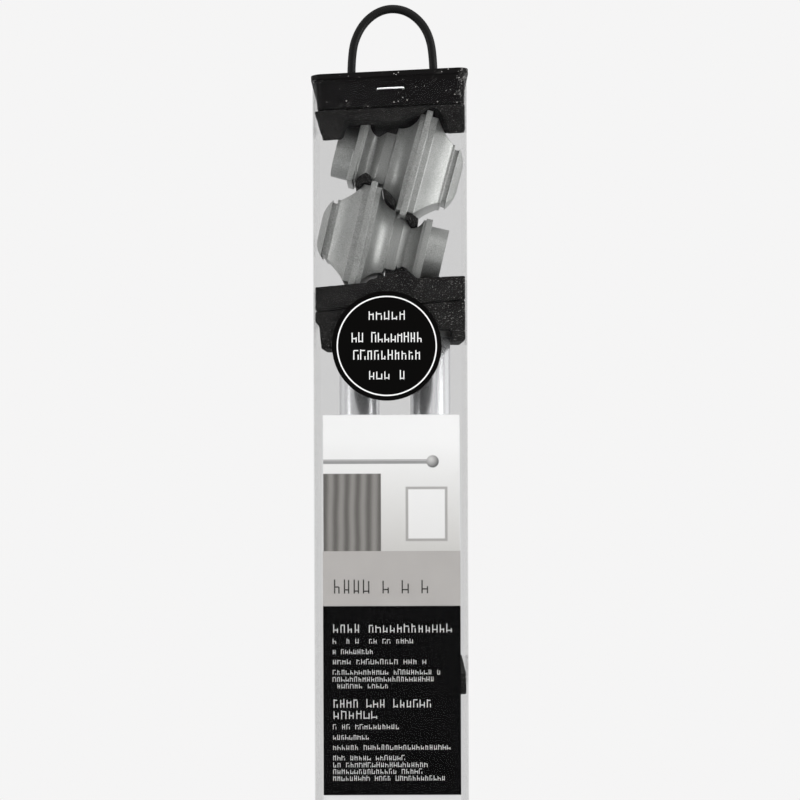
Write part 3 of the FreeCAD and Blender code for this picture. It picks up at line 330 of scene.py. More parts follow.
def makeSilverCoat(name, color, roughness, metallic, flake=0.04, flakeScale=5200.0, spread=0.055,
                   relief=0.10):
    # metallic paint: flake is how far its grains differ in tone, spread how far they differ in gloss
    material, tree, shader, spot = newMaterial(name, color, roughness, metallic)
    grain = placeGroup(tree, grainGroup, spot, Fine_Scale=3200.0, Broad_Scale=45.0, Fine_Share=0.5)
    flakes = addNode(tree, "ShaderNodeTexNoise", {"Vector": spot, "Scale": flakeScale, "Detail": 1.0})
    light = tuple(min(1.0, c * (1 + flake * 3)) for c in color)
    dark = tuple(c * (1 - flake * 3) for c in color)
    blend = plus(tree, times(tree, flakes.outputs[0], 0.6), times(tree, grain.outputs[1], 0.4))
    tree.links.new(mixColor(tree, ramp(tree, blend, 0.35, 0.65), (*dark, 1), (*light, 1)),
                   shader.inputs["Base Color"])
    tree.links.new(ramp(tree, grain.outputs[1], 0.3, 0.7, roughness - spread, roughness + spread),
                   shader.inputs["Roughness"])
    bumpFrom(tree, shader, grain.outputs[0], relief, 0.0002)
    return material


def makePaper(name, color, roughness, gloss=0.3):
    material, tree, shader, spot = newMaterial(name, color, roughness, Specular_IOR_Level=gloss)
    grain = placeGroup(tree, grainGroup, spot, Fine_Scale=2400.0, Broad_Scale=60.0, Fine_Share=0.6)
    dark = tuple(c * 0.93 for c in color)
    tree.links.new(mixColor(tree, ramp(tree, grain.outputs[1], 0.3, 0.7), (*dark, 1), (*color, 1)),
                   shader.inputs["Base Color"])
    bumpFrom(tree, shader, grain.outputs[0], 0.06, 0.0002)
    return material


# The card's picture: a made-up view of a rod with a ball end over pleated cloth, beside a framed pane.
# Each area has its left, right, upper and lower edge, the last two measured down from the card's top.
picture = dict(top=sleeveTop - 0.1541, wall=(0.93, 0.93, 0.925), shade=(0.60, 0.59, 0.57), shadeFrom=0.012,
               shadeTo=0.063, cloth=(0.115, 0.108, 0.10), fold=(0.26, 0.25, 0.235), pleatScale=62.0,
               metal=(0.30, 0.30, 0.30), pale=(0.72, 0.71, 0.70), dim=(0.12, 0.12, 0.12),
               areas=(("cloth", -0.0316, -0.0045, 0.0270, 0.0640), ("metal", -0.0316, 0.0170, 0.0205, 0.0228),
                      ("pale", -0.0316, 0.0170, 0.0209, 0.0214)),
               pane=(0.0065, 0.0262, 0.0330, 0.0585), paneFrame=0.0012, paneSoft=0.0004,
               glass=(0.95, 0.95, 0.95), glassShare=0.55, frame=(0.33, 0.32, 0.31), frameShare=0.8,
               ball=(0.0192, 0.0216, 0.0031), ballSoft=0.0004, glint=(-0.0008, 0.0010), glintReach=0.0036)


def makePictureInk():
    material, tree, shader, spot = newMaterial("pictureInk", (0.6, 0.6, 0.6), 0.45)
    shader.inputs["Coat Weight"].default_value = 0.2
    shader.inputs["Coat Roughness"].default_value = 0.2
    top = picture["top"]
    axes = addNode(tree, "ShaderNodeSeparateXYZ", {0: spot})
    down = ramp(tree, axes.outputs[2], top - picture["shadeFrom"], top - picture["shadeTo"])
    tone = mixColor(tree, down, (*picture["wall"], 1), (*picture["shade"], 1))
    left, right, high, low = picture["pane"]
    inset = picture["paneFrame"]
    whole = placeGroup(tree, areaGroup, spot, Left=left, Right=right, Low=top - low, High=top - high,
                       Soft=picture["paneSoft"])
    glass = placeGroup(tree, areaGroup, spot, Left=left + inset, Right=right - inset, Low=top - low + inset,
                       High=top - high - inset, Soft=picture["paneSoft"])
    rim = minus(tree, whole.outputs[0], glass.outputs[0])
    tone = mixColor(tree, times(tree, glass.outputs[0], picture["glassShare"]), tone, (*picture["glass"], 1))
    tone = mixColor(tree, times(tree, rim, picture["frameShare"]), tone, (*picture["frame"], 1))
    folds = addNode(tree, "ShaderNodeTexWave", {
        "Vector": spot, "Scale": picture["pleatScale"], "Distortion": 1.6, "Detail": 2.0,
        "Detail Scale": 0.5}, wave_type="BANDS", bands_direction="X", wave_profile="SIN")
    pleats = mixColor(tree, folds.outputs[1], (*picture["cloth"], 1), (*picture["fold"], 1))
    for color, left, right, high, low in picture["areas"]:
        area = placeGroup(tree, areaGroup, spot, Left=left, Right=right, Low=top - low, High=top - high)
        tone = mixColor(tree, area.outputs[0], tone, pleats if color == "cloth" else (*picture[color], 1))
    x, drop, radius = picture["ball"]
    middle = Vector((x, frontWall, top - drop))
    lit = middle + Vector((picture["glint"][0], 0, picture["glint"][1]))
    away = addNode(tree, "ShaderNodeVectorMath", {0: spot, 1: middle}, operation="DISTANCE")
    ball = ramp(tree, away.outputs["Value"], radius, radius - picture["ballSoft"])
    fromGlint = addNode(tree, "ShaderNodeVectorMath", {0: spot, 1: lit}, operation="DISTANCE")
    ballTone = mixColor(tree, ramp(tree, fromGlint.outputs["Value"], 0.0, picture["glintReach"]),
                        (*picture["pale"], 1), (*picture["dim"], 1))
    tone = mixColor(tree, ball, tone, ballTone)
    tree.links.new(tone, shader.inputs["Base Color"])
    grain = placeGroup(tree, grainGroup, spot, Fine_Scale=2400.0, Broad_Scale=60.0, Fine_Share=0.6)
    bumpFrom(tree, shader, grain.outputs[0], 0.06, 0.0002)
    return material


def makePlastic(name, color, roughness, alpha=None):
    material, tree, shader, spot = newMaterial(name, color, roughness)
    grain = placeGroup(tree, grainGroup, spot, Fine_Scale=1800.0, Broad_Scale=90.0, Fine_Share=0.5)
    dark = tuple(c * 0.88 for c in color)
    tree.links.new(mixColor(tree, ramp(tree, grain.outputs[1], 0.3, 0.7), (*dark, 1), (*color, 1)),
                   shader.inputs["Base Color"])
    if alpha:
        grazing = addNode(tree, "ShaderNodeLayerWeight", {"Blend": 0.4})
        tree.links.new(ramp(tree, grazing.outputs["Facing"], 0.0, 1.0, alpha, 0.5), shader.inputs["Alpha"])
    bumpFrom(tree, shader, grain.outputs[0], 0.3 if alpha else 0.1, 0.0006 if alpha else 0.0002)
    return material


clearSheet = makeClearSheet()
capPlastic = makeBlackCapPlastic()
blackCord = makeBlackCord()
stapleWire = makeStapleWire()
blackFoam = makeBlackFoam()
finialPaint = makeSilverCoat("finialPaint", (0.30, 0.306, 0.296), 0.36, 0.42, 0.10, flakeScale=2300.0)
poleCoat = makeSilverCoat("poleCoat", (0.69, 0.695, 0.705), 0.26, 0.78, 0.006, spread=0.012, relief=0.008)
bracketCoat = makeSilverCoat("bracketCoat", (0.42, 0.43, 0.44), 0.36, 0.35)
zincSteel = makeSilverCoat("zincSteel", (0.58, 0.58, 0.56), 0.32, 0.9)
whiteBoard = makePaper("whiteBoard", (0.76, 0.76, 0.76), 0.5)
blackInk = makePaper("blackInk", (0.0006, 0.0006, 0.0006), 0.45, 0.01)
greyInk = makePaper("greyInk", (0.47, 0.452, 0.435), 0.45)
markInk = makePaper("markInk", (0.035, 0.033, 0.031), 0.45)
whiteInk = makePaper("whiteInk", (0.70, 0.70, 0.70), 0.45)
stickerBlack = makePaper("stickerBlack", (0.0014, 0.0013, 0.0012), 0.4, 0.025)
pictureInk = makePictureInk()
bushPlastic = makePlastic("bushPlastic", (0.66, 0.66, 0.63), 0.5)
anchorPlastic = makePlastic("anchorPlastic", (0.45, 0.45, 0.44), 0.5)
bagFilm = makePlastic("bagFilm", (0.85, 0.86, 0.87), 0.12, alpha=0.05)
print("materials made")

# Helpers for pieces


def finishPiece(item, material, replaced):
    if material and not item.data.materials:
        item.data.materials.append(material)
    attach(item, "root")
    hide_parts(*replaced)
    return item


def newObject(name, data):
    item = bpy.data.objects.new(name, data)
    bpy.context.scene.collection.objects.link(item)
    return item


def settle(item):
    # the object's evaluated shape becomes its plain mesh, and its modifiers go
    graph = bpy.context.evaluated_depsgraph_get()
    mesh = bpy.data.meshes.new_from_object(item.evaluated_get(graph), depsgraph=graph)
    item.modifiers.clear()
    old = item.data
    item.data = mesh
    if isinstance(old, bpy.types.Mesh):
        bpy.data.meshes.remove(old)


# Points this near are one, in metres, and faces this nearly flat are one, in degrees
joining = dict(within=2e-6, flatTo=0.6)


def copyNode(nodeName, name, wholeFaces=True):
    # a merged copy of a CAD node's mesh, with its flat triangles joined into whole faces unless told not to
    mesh = nodes[nodeName].data.copy()
    mesh.materials.clear()
    work = bmesh.new()
    work.from_mesh(mesh)
    bmesh.ops.remove_doubles(work, verts=work.verts, dist=joining["within"])
    if wholeFaces:
        bmesh.ops.dissolve_limit(work, angle_limit=math.radians(joining["flatTo"]), verts=work.verts,
                                 edges=work.edges)
    work.to_mesh(mesh)
    work.free()
    for layer in list(mesh.uv_layers):
        mesh.uv_layers.remove(layer)
    return newObject(name, mesh)


def softenEdges(item, width, segments=2, angle=30):
    bevel = item.modifiers.new("softEdges", "BEVEL")
    bevel.width = width
    bevel.segments = segments
    bevel.limit_method = "ANGLE"
    bevel.angle_limit = math.radians(angle)
    bevel.use_clamp_overlap = True
    bevel.harden_normals = False
    settle(item)
    item.data.shade_smooth()
    item.data.set_sharp_from_angle(angle=math.radians(angle))
    return item


def paintNode(nodeName, material):
    # a CAD node that stays as it is, with a better material
    for place in nodes[nodeName].material_slots:
        place.material = material


# Hanging loop: the same route points as the source, in metres above the sleeve, and its two ends in the cap
loopCord = dict(diameter=0.004, seatAboveTop=0.001612, length=0.119,
                ends=((-0.018032, -0.012931), (0.021028, -0.011158)),
                route=((-0.0192, 0.0160), (-0.0142, 0.0314), (-0.0036, 0.0397), (0.0086, 0.0389),
                       (0.0182, 0.0296), (0.0212, 0.0145)))


def makeHangLoop():
    curve = bpy.data.curves.new("hangLoop", "CURVE")
    curve.dimensions = "3D"
    curve.bevel_depth = loopCord["diameter"] / 2
    curve.bevel_resolution = 5
    curve.resolution_u = 14
    curve.use_fill_caps = True
    seat = sleeveTop + loopCord["seatAboveTop"]
    start, stop = [(x, 0, seat + z) for x, z in loopCord["ends"]]
    points = [start] + [(x, 0, sleeveTop + z) for x, z in loopCord["route"]] + [stop]
    spline = curve.splines.new("NURBS")
    spline.points.add(len(points) - 1)
    for point, place in zip(spline.points, points):
        point.co = (*place, 1)
    spline.order_u = 3
    spline.use_endpoint_u = True
    item = finishPiece(newObject("hangLoop", curve), blackCord, ["hang_loop"])


makeHangLoop()
print("hanging loop made")

# Stage: a pale floor under the pack, a pale world behind it, and soft lamps in front, behind and above
stage = dict(floorSize=6.0, floorColor=(0.80, 0.81, 0.82), sky=(0.915, 0.912, 0.912), skyFill=0.82,
             sideDistance=1.5, sideHeight=1.1, sideTall=2.2, backShare=0.12,
             sides=(dict(name="Right", angle=64, wide=0.9, power=36),
                    dict(name="Left", angle=-66, wide=0.55, power=15)),
             top=dict(place=(0.2, -0.7, 2.6), target=(0, 0, 1.3), wide=0.8, tall=0.8, power=7))


def makeFloor():
    half = stage["floorSize"] / 2
    mesh = bpy.data.meshes.new("floor")
    corners = [(-half, -half, 0), (half, -half, 0), (half, half, 0), (-half, half, 0)]
    mesh.from_pydata(corners, [], [(0, 1, 2, 3)])
    floor = newObject("floor", mesh)
    material, tree, shader, spot = newMaterial("floorPaint", stage["floorColor"], 0.8)
    grain = placeGroup(tree, grainGroup, spot, Fine_Scale=400.0, Broad_Scale=3.0, Fine_Share=0.3)
    bumpFrom(tree, shader, grain.outputs[0], 0.03, 0.001)
    mesh.materials.append(material)


def makeWorld():
    # the world shows at full strength to the camera and in shiny or clear things, and lights the rest less
    bpy.context.scene.view_settings.view_transform = "Standard"
    world = bpy.data.worlds.new("studio")
    bpy.context.scene.world = world
    world.use_nodes = True
    tree = world.node_tree
    tree.nodes.clear()
    rays = addNode(tree, "ShaderNodeLightPath")
    seen = mathNode(tree, "MAXIMUM", rays.outputs["Is Camera Ray"], rays.outputs["Is Glossy Ray"])
    seen = mathNode(tree, "MAXIMUM", seen, rays.outputs["Is Transmission Ray"])
    strength = ramp(tree, seen, 0.0, 1.0, stage["skyFill"], 1.0)
    sky = addNode(tree, "ShaderNodeBackground", {"Color": (*stage["sky"], 1), "Strength": strength})
    out = addNode(tree, "ShaderNodeOutputWorld")
    tree.links.new(sky.outputs[0], out.inputs[0])


def makeLamp(name, place, target, wide, tall, power):
    data = bpy.data.lights.new(name, "AREA")
    data.shape = "RECTANGLE"
    data.size = wide
    data.size_y = tall
    data.energy = power
    item = newObject(name, data)
    item.location = place
    item.rotation_euler = (Vector(target) - Vector(place)).to_track_quat("-Z", "Y").to_euler()


def makeLamps():
    reach, height, tall = stage["sideDistance"], stage["sideHeight"], stage["sideTall"]
    target = (0, 0, height)
    for side in stage["sides"]:
        turn = math.radians(side["angle"])
        x, y = reach * math.sin(turn), -reach * math.cos(turn)
        makeLamp("sideLamp" + side["name"], (x, y, height), target, side["wide"], tall, side["power"])
        makeLamp("backLamp" + side["name"], (x, -y, height), target, side["wide"], tall,
                 side["power"] * stage["backShare"])
    makeLamp("topLamp", **stage["top"])


makeFloor()
makeWorld()
makeLamps()
print("stage and lamps set")

# End caps, finials and brackets: CAD copies with softened edges
softened = dict(
    topCap=dict(node="top_cap", width=0.0007, segments=3, material=capPlastic, slot="black_cap"),
    bottomCap=dict(node="bottom_cap", width=0.0007, segments=3, material=capPlastic, slot="black_cap"),
    upperFinial=dict(node="upper_finial", width=0.0004, segments=3, material=finialPaint,
                     slot="silver_plastic"),
    lowerFinial=dict(node="lower_finial", width=0.0004, segments=3, material=finialPaint,
                     slot="silver_plastic"),
    lowBracket=dict(node="bracket_1", width=0.0005, segments=2, material=bracketCoat, slot="bracket_coat"),
    middleBracket=dict(node="bracket_2", width=0.0005, segments=2, material=bracketCoat, slot="bracket_coat"),
    highBracket=dict(node="bracket_3", width=0.0005, segments=2, material=bracketCoat, slot="bracket_coat"))
for name, values in softened.items():
    piece = softenEdges(copyNode(values["node"], name), values["width"], values["segments"])
    finishPiece(piece, values["material"], [values["node"]])
print("caps, finials and brackets made")

# Foam blocks: cut foam with a slightly uneven, crumbled face; a share coarsens or refines one piece's mesh
foam = dict(cellSize=0.0008, waver=0.00035, waverScale=55, crumble=0.00016, crumbleScale=420, sharpFrom=50,
            pieces=dict(foamCradle="foam_cradle", foamSlab="foam_slab", foamSaddle="foam_saddle",
                        foamWedges="foam_wedges", upperSpacer="upper_spacer", lowerSpacer="lower_spacer",
                        baseFoam="base_foam"),
            shares=dict(upperSpacer=1.3, lowerSpacer=2.0, baseFoam=2.2, foamWedges=0.6),
            swell=dict(across=(-0.0070, 0.0080), deep=0.021, most=0.0045, clear=0.00025, fade=0.0015,
                       upward=0.3))


def swellUnderFinial(mesh):
    # the slab's crest rises until it all but meets the lower finial's neck
    source = nodes["lower_finial"].data
    finial = BVHTree.FromPolygons([v.co for v in source.vertices],
                                  [tuple(p.vertices) for p in source.polygons])
    swell = foam["swell"]
    left, right = swell["across"]
    for vertex in mesh.vertices:
        place = vertex.co
        if vertex.normal.z < swell["upward"]:
            continue
        side = min(place.x - left, right - place.x, swell["deep"] - abs(place.y)) / swell["fade"]
        if side <= 0:
            continue
        hit, normal, face, gap = finial.ray_cast(place, Vector((0, 0, 1)), swell["most"])
        if hit:
            vertex.co.z += max(0.0, gap - swell["clear"]) * min(1.0, side)


def makeFoam(name, nodeName):
    item = copyNode(nodeName, name, wholeFaces=False)
    shell = item.modifiers.new("shell", "REMESH")
    shell.mode = "VOXEL"
    shell.voxel_size = foam["cellSize"] * foam["shares"].get(name, 1.0)
    settle(item)
    mesh = item.data
    moved = []
    for vertex in mesh.vertices:
        place = vertex.co
        slow = noise.noise(place * foam["waverScale"]) * 0.5 + 0.5
        fast = noise.noise(place * foam["crumbleScale"]) * 0.5 + 0.5
        moved.append(place - vertex.normal * (slow * foam["waver"] + fast * foam["crumble"]))
    for vertex, place in zip(mesh.vertices, moved):
        vertex.co = place
    if name == "foamSlab":
        swellUnderFinial(mesh)
    mesh.shade_smooth()
    mesh.set_sharp_from_angle(angle=math.radians(foam["sharpFrom"]))
    finishPiece(item, blackFoam, [nodeName])


for name, nodeName in foam["pieces"].items():
    makeFoam(name, nodeName)
print("foam made")

# Outer tubes of both poles: turned, with rounded cut ends
tubes = dict(radius=0.0095, wall=0.0008, edge=0.00025, sides=96, sharpFrom=50)


def makeTube(name, nodeName):
    low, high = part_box(nodeName)
    middle = ((low[0] + high[0]) / 2, (low[1] + high[1]) / 2)
    outer, inner, edge = tubes["radius"], tubes["radius"] - tubes["wall"], tubes["edge"]
    profile = [(outer, low[2] + edge), (outer, high[2] - edge), (outer - edge, high[2]),
               (inner + edge, high[2]), (inner, high[2] - edge), (inner, low[2] + edge),
               (inner + edge, low[2]), (outer - edge, low[2])]
    mesh = bpy.data.meshes.new(name)
    work = bmesh.new()
    rings = []
    for i in range(tubes["sides"]):
        angle = 2 * math.pi * i / tubes["sides"]
        x, y = math.cos(angle), math.sin(angle)
        rings.append([work.verts.new((middle[0] + r * x, middle[1] + r * y, z)) for r, z in profile])
    count = len(profile)
    for i, ring in enumerate(rings):
        after = rings[(i + 1) % len(rings)]
        for j in range(count):
            k = (j + 1) % count
            work.faces.new((ring[j], after[j], after[k], ring[k]))
    bmesh.ops.recalc_face_normals(work, faces=work.faces)
    work.to_mesh(mesh)
    work.free()
    mesh.shade_smooth()
    mesh.set_sharp_from_angle(angle=math.radians(tubes["sharpFrom"]))
    finishPiece(newObject(name, mesh), poleCoat, [nodeName])


makeTube("leftPoleTube", "left_pole_outer")
makeTube("rightPoleTube", "right_pole_outer")
print("poles made")

# Rows of marks where words would be. A stroke is its least width plus a share of the row's height.
words = dict(strokeLeast=0.0001, strokeShare=0.075, gaps=0.12)


def makeWordTree():
    # a row of loose marks on one base line, two uprights and a cross stroke to each
    tree = bpy.data.node_groups.new("wordRow", "GeometryNodeTree")
    for title, kind, value in (
            ("Start", "NodeSocketVector", (0, 0, 0)), ("Marks", "NodeSocketInt", 8),
            ("Pitch", "NodeSocketFloat", 0.003), ("Height", "NodeSocketFloat", 0.0036),
            ("Stroke", "NodeSocketFloat", 0.0004), ("Seed", "NodeSocketInt", 1),
            ("Gaps", "NodeSocketFloat", 0.14)):
        socket = tree.interface.new_socket(name=title, in_out="INPUT", socket_type=kind)
        socket.default_value = value
    tree.interface.new_socket(name="Ink", in_out="INPUT", socket_type="NodeSocketMaterial")
    tree.interface.new_socket(name="Geometry", in_out="OUTPUT", socket_type="NodeSocketGeometry")
    given = tree.nodes.new("NodeGroupInput")
    made = tree.nodes.new("NodeGroupOutput")
    pitch, height, stroke, seed = (given.outputs[name] for name in ("Pitch", "Height", "Stroke", "Seed"))
    step = addNode(tree, "ShaderNodeCombineXYZ", {0: pitch})
    line = addNode(tree, "GeometryNodeMeshLine", {
        "Count": given.outputs["Marks"], "Start Location": given.outputs["Start"],
        "Offset": step.outputs[0]})
    bar = addNode(tree, "GeometryNodeMeshGrid", {
        "Size X": 1.0, "Size Y": 1.0, "Vertices X": 2, "Vertices Y": 2})
    raised = addNode(tree, "GeometryNodeTransform", {"Geometry": bar.outputs[0], "Translation": (0, 0.5, 0)})

    def chance(low, high, shift):
        # a value between low and high for each mark, drawn apart from the others by its shift
        node = addNode(tree, "FunctionNodeRandomValue", {"Seed": plus(tree, seed, shift)}, data_type="FLOAT")
        node.inputs[2].default_value = low
        node.inputs[3].default_value = high
        return node.outputs[1]

    shown = mathNode(tree, "GREATER_THAN", chance(0.0, 1.0, 50.0), given.outputs["Gaps"])
    body = times(tree, pitch, chance(0.42, 0.66, 70.0))
    half = times(tree, body, 0.5)
    strokes = []
    for across, wide, tall, lift in (
            (times(tree, half, -1.0), stroke, times(tree, height, chance(0.8, 1.0, 10.0)), 0.0),
            (half, stroke, times(tree, height, chance(0.3, 1.0, 20.0)), 0.0),
            (0.0, body, stroke, times(tree, height, chance(0.0, 0.9, 30.0)))):
        moved = addNode(tree, "ShaderNodeCombineXYZ", {0: across, 2: lift})
        placed = addNode(tree, "GeometryNodeSetPosition", {
            "Geometry": line.outputs[0], "Offset": moved.outputs[0]})
        size = addNode(tree, "ShaderNodeCombineXYZ", {
            0: times(tree, wide, shown), 1: times(tree, tall, shown), 2: 1.0})
        drawn = addNode(tree, "GeometryNodeInstanceOnPoints", {
            "Points": placed.outputs[0], "Instance": raised.outputs[0], "Scale": size.outputs[0]})
        drawn.inputs["Rotation"].default_value = (math.radians(90), 0, 0)
        strokes.append(drawn.outputs[0])
    joined = addNode(tree, "GeometryNodeJoinGeometry")
    for item in strokes:
        tree.links.new(item, joined.inputs[0])
    real = addNode(tree, "GeometryNodeRealizeInstances", {0: joined.outputs[0]})
    inked = addNode(tree, "GeometryNodeSetMaterial", {
        "Geometry": real.outputs[0], "Material": given.outputs["Ink"]})
    tree.links.new(inked.outputs[0], made.inputs[0])
    return tree


wordTree = makeWordTree()


def makeWordRow(start, marks, pitch, height, seed, ink=whiteInk):
    item = newObject("wordRow", bpy.data.meshes.new("wordRow"))
    row = item.modifiers.new("words", "NODES")
    row.node_group = wordTree
    stroke = words["strokeLeast"] + height * words["strokeShare"]
    values = {"Start": start, "Marks": marks, "Pitch": pitch, "Height": height, "Stroke": stroke,
              "Seed": seed, "Gaps": words["gaps"], "Ink": ink}
    for socket in wordTree.interface.items_tree:
        if socket.in_out == "INPUT":
            row[socket.identifier] = values[socket.name]
    graph = bpy.context.evaluated_depsgraph_get()
    mesh = bpy.data.meshes.new_from_object(item.evaluated_get(graph), depsgraph=graph)
    bpy.data.objects.remove(item)
    return mesh


def joinMeshes(name, meshes):
    # one mesh of several, each with its own material kept
    parts = [newObject(name + "Part", mesh) for mesh in meshes]
    with bpy.context.temp_override(active_object=parts[0], selected_objects=parts,
                                   selected_editable_objects=parts):
        bpy.ops.object.join()
    parts[0].name = name
    return parts[0]


def flatPanel(left, right, low, high, y, material):
    mesh = bpy.data.meshes.new("panel")
    mesh.from_pydata([(left, y, low), (right, y, low), (right, y, high), (left, y, high)], [], [(0, 1, 2, 3)])
    mesh.materials.append(material)
    return mesh


# Printed card: panels laid on the board, whose lower edges are measured down from the card's top.
# Each row of marks has its middle's drop, its height and length, its count of marks and its seed.
card = dict(
    panelLift=0.00002, boardGap=0.00008, corner=0.0003, margin=0.0003,
    picture=0.0628, band=0.0881, panel=0.1751,
    rows=[(0.0983, 0.0041, 0.0555, 17, 3), (0.1042, 0.0024, 0.0375, 18, 4),
          (0.1090, 0.0024, 0.0190, 10, 5), (0.1137, 0.0024, 0.0435, 20, 6),
          (0.1185, 0.0024, 0.0500, 25, 7), (0.1217, 0.0024, 0.0470, 24, 8),
          (0.1248, 0.0024, 0.0260, 13, 9), (0.1328, 0.0041, 0.0460, 15, 10),
          (0.1380, 0.0041, 0.0210, 6, 12), (0.1436, 0.0024, 0.0330, 16, 15),
          (0.1484, 0.0024, 0.0170, 9, 13), (0.1531, 0.0024, 0.0545, 27, 14),
          (0.1579, 0.0024, 0.0375, 19, 19), (0.1611, 0.0024, 0.0440, 22, 16),
          (0.1642, 0.0024, 0.0415, 21, 17), (0.1673, 0.0024, 0.0520, 27, 18)],
    bandRow=(0.0790, 0.0066, 0.0450, 10, 43),
    rowStart=0.0041)


def makeCard():
    low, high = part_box("insert_card")
    board = bpy.data.meshes.new("board")
    work = bmesh.new()
    bmesh.ops.create_cube(work, size=1.0)
    centre = (Vector(low) + Vector(high)) / 2
    size = Vector(high) - Vector(low) - Vector((0, card["boardGap"], 0))
    for vertex in work.verts:
        vertex.co = Vector(a * b for a, b in zip(vertex.co, size)) + centre
    bmesh.ops.bevel(work, geom=[e for e in work.edges if abs(e.verts[0].co.y - e.verts[1].co.y) > 1e-5],
                    offset=card["corner"], segments=2, affect="EDGES")
    work.to_mesh(board)
    work.free()
    board.materials.append(whiteBoard)
    face, top, margin = low[1], high[2], card["margin"]
    pictureLow, bandLow, panelLow = (top - card[name] for name in ("picture", "band", "panel"))
    y = face + card["panelLift"]
    meshes = [board,
              flatPanel(low[0] + margin, high[0] - margin, pictureLow, top - margin, y, pictureInk),
              flatPanel(low[0], high[0], bandLow, pictureLow, y, greyInk),
              flatPanel(low[0], high[0], panelLow, bandLow, y, blackInk)]
    for drop, height, length, marks, seed in card["rows"] + [card["bandRow"]]:
        pitch = length / marks
        start = (low[0] + card["rowStart"] + pitch / 2, face, top - drop - height / 2)
        ink = markInk if drop < card["band"] else whiteInk
        meshes.append(makeWordRow(start, marks, pitch, height, seed, ink=ink))
    finishPiece(joinMeshes("insertCard", meshes), None, ["insert_card"])


# Round sticker: a disc with a thin ring and rows of marks, each row's middle measured up from the disc's
sticker = dict(discGap=0.00004, segments=128, ringOut=0.02305, ringIn=0.02248,
               rows=[(0.0142, 0.0044, 0.0178, 5, 21), (0.0041, 0.0048, 0.0330, 11, 22),
                     (-0.0039, 0.0048, 0.0315, 10, 23), (-0.0132, 0.0044, 0.0175, 5, 24)])


def makeSticker():
    low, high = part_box("round_sticker")
    x, z = (low[0] + high[0]) / 2, (low[2] + high[2]) / 2
    radius, gap, count = (high[0] - low[0]) / 2, sticker["discGap"], sticker["segments"]
    disc = bpy.data.meshes.new("disc")
    work = bmesh.new()
    bmesh.ops.create_cone(work, cap_ends=True, segments=count, radius1=radius, radius2=radius,
                          depth=high[1] - low[1] - gap)
    seat = Matrix.Translation((x, (low[1] + high[1] + gap) / 2, z))
    bmesh.ops.transform(work, matrix=seat @ Matrix.Rotation(math.radians(90), 4, "X"), verts=work.verts)
    work.to_mesh(disc)
    work.free()
    disc.materials.append(stickerBlack)
    ring = bpy.data.meshes.new("ring")
    work = bmesh.new()
    loops = []
    for i in range(count):
        angle = 2 * math.pi * i / count
        loops.append([work.verts.new((x + r * math.cos(angle), low[1], z + r * math.sin(angle)))
                      for r in (sticker["ringIn"], sticker["ringOut"])])
    for i, (inner, outer) in enumerate(loops):
        nextInner, nextOuter = loops[(i + 1) % count]
        work.faces.new((inner, outer, nextOuter, nextInner))
    work.to_mesh(ring)
    work.free()
    ring.materials.append(whiteInk)
    meshes = [disc, ring]
    for rise, height, length, marks, seed in sticker["rows"]:
        pitch = length / marks
        start = (x - length / 2 + pitch / 2, low[1], z + rise - height / 2)
        meshes.append(makeWordRow(start, marks, pitch, height, seed))
    finishPiece(joinMeshes("roundSticker", meshes), None, ["round_sticker"])


makeCard()
makeSticker()
print("card and sticker made")

# Fixings bag: a soft pillow of thin film, flat along its side and top seams
bag = dict(rows=34, columns=28, seamShare=0.16, topSeam=1.3, fullness=0.7, footShare=0.3, fill=0.995,
           wall=0.0012, leastHalf=0.00012, wrinkle=0.0009, wrinkleScale=70)


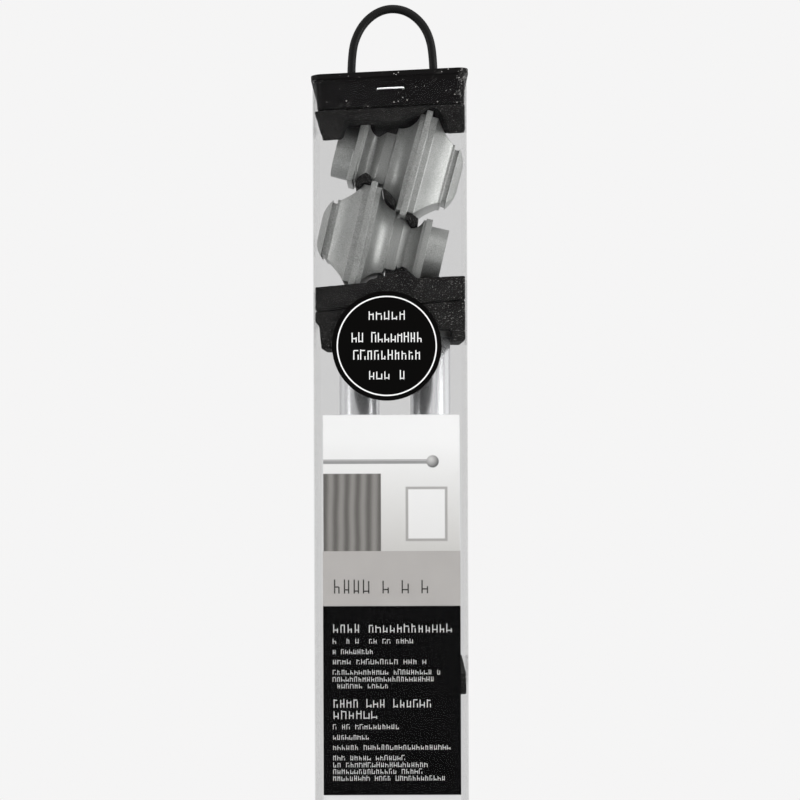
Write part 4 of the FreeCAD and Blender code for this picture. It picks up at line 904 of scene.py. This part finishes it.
def bagPoint(side, across, up, size):
    # a point of one face: across and up run from 0 to 1, and the face bulges away from its seams
    width, depth, height = size
    edge = min(across, 1 - across, (1 - up) * bag["topSeam"]) / bag["seamShare"]
    rise = math.sin(min(1.0, max(0.0, edge)) * math.pi / 2) ** bag["fullness"]
    if up == 0:
        rise *= bag["footShare"]
    spot = Vector(((across - 0.5) * width * bag["fill"], 0, up * height * bag["fill"]))
    fold = noise.noise(Vector((spot.x, spot.z, side * 0.3)) * bag["wrinkleScale"]) * bag["wrinkle"]
    spot.y = side * max(bag["leastHalf"], rise * (depth / 2 - bag["wall"]) + fold * min(1.0, rise))
    spot.y = max(-depth / 2, min(depth / 2, spot.y))
    return spot


def makeBag():
    low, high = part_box("fixings_bag")
    size = [high[i] - low[i] for i in range(3)]
    foot = Vector(((low[0] + high[0]) / 2, (low[1] + high[1]) / 2, low[2]))
    rows, columns = bag["rows"], bag["columns"]
    work = bmesh.new()
    sides = []
    for side in (-1, 1):
        grid = [[work.verts.new(foot + bagPoint(side, i / columns, j / rows, size))
                 for i in range(columns + 1)] for j in range(rows + 1)]
        for j in range(rows):
            for i in range(columns):
                quad = (grid[j][i], grid[j][i + 1], grid[j + 1][i + 1], grid[j + 1][i])
                work.faces.new(quad if side < 0 else quad[::-1])
        sides.append(grid)
    front, back = sides
    rim = [(0, i) for i in range(columns + 1)]
    rim += [(j, columns) for j in range(1, rows + 1)]
    rim += [(rows, i) for i in range(columns - 1, -1, -1)]
    rim += [(j, 0) for j in range(rows - 1, 0, -1)]
    for a, b in zip(rim, rim[1:] + rim[:1]):
        work.faces.new((front[b[0]][b[1]], front[a[0]][a[1]], back[a[0]][a[1]], back[b[0]][b[1]]))
    bmesh.ops.recalc_face_normals(work, faces=work.faces)
    mesh = bpy.data.meshes.new("fixingsBag")
    work.to_mesh(mesh)
    work.free()
    mesh.shade_smooth()
    finishPiece(newObject("fixingsBag", mesh), bagFilm, ["fixings_bag"])


makeBag()
print("fixings bag made")

# CAD nodes that stay, with their own finishes
keptNodes = dict(
    clear_sleeve=clearSheet, staple=stapleWire, left_pole_inner=poleCoat, right_pole_inner=poleCoat,
    left_pole_bushes=bushPlastic, right_pole_bushes=bushPlastic, back_pole_plugs=finialPaint,
    thumb_screws=zincSteel, wall_screws=zincSteel, wall_anchors=anchorPlastic)
for nodeName, material in keptNodes.items():
    paintNode(nodeName, material)
print("remaining nodes painted")
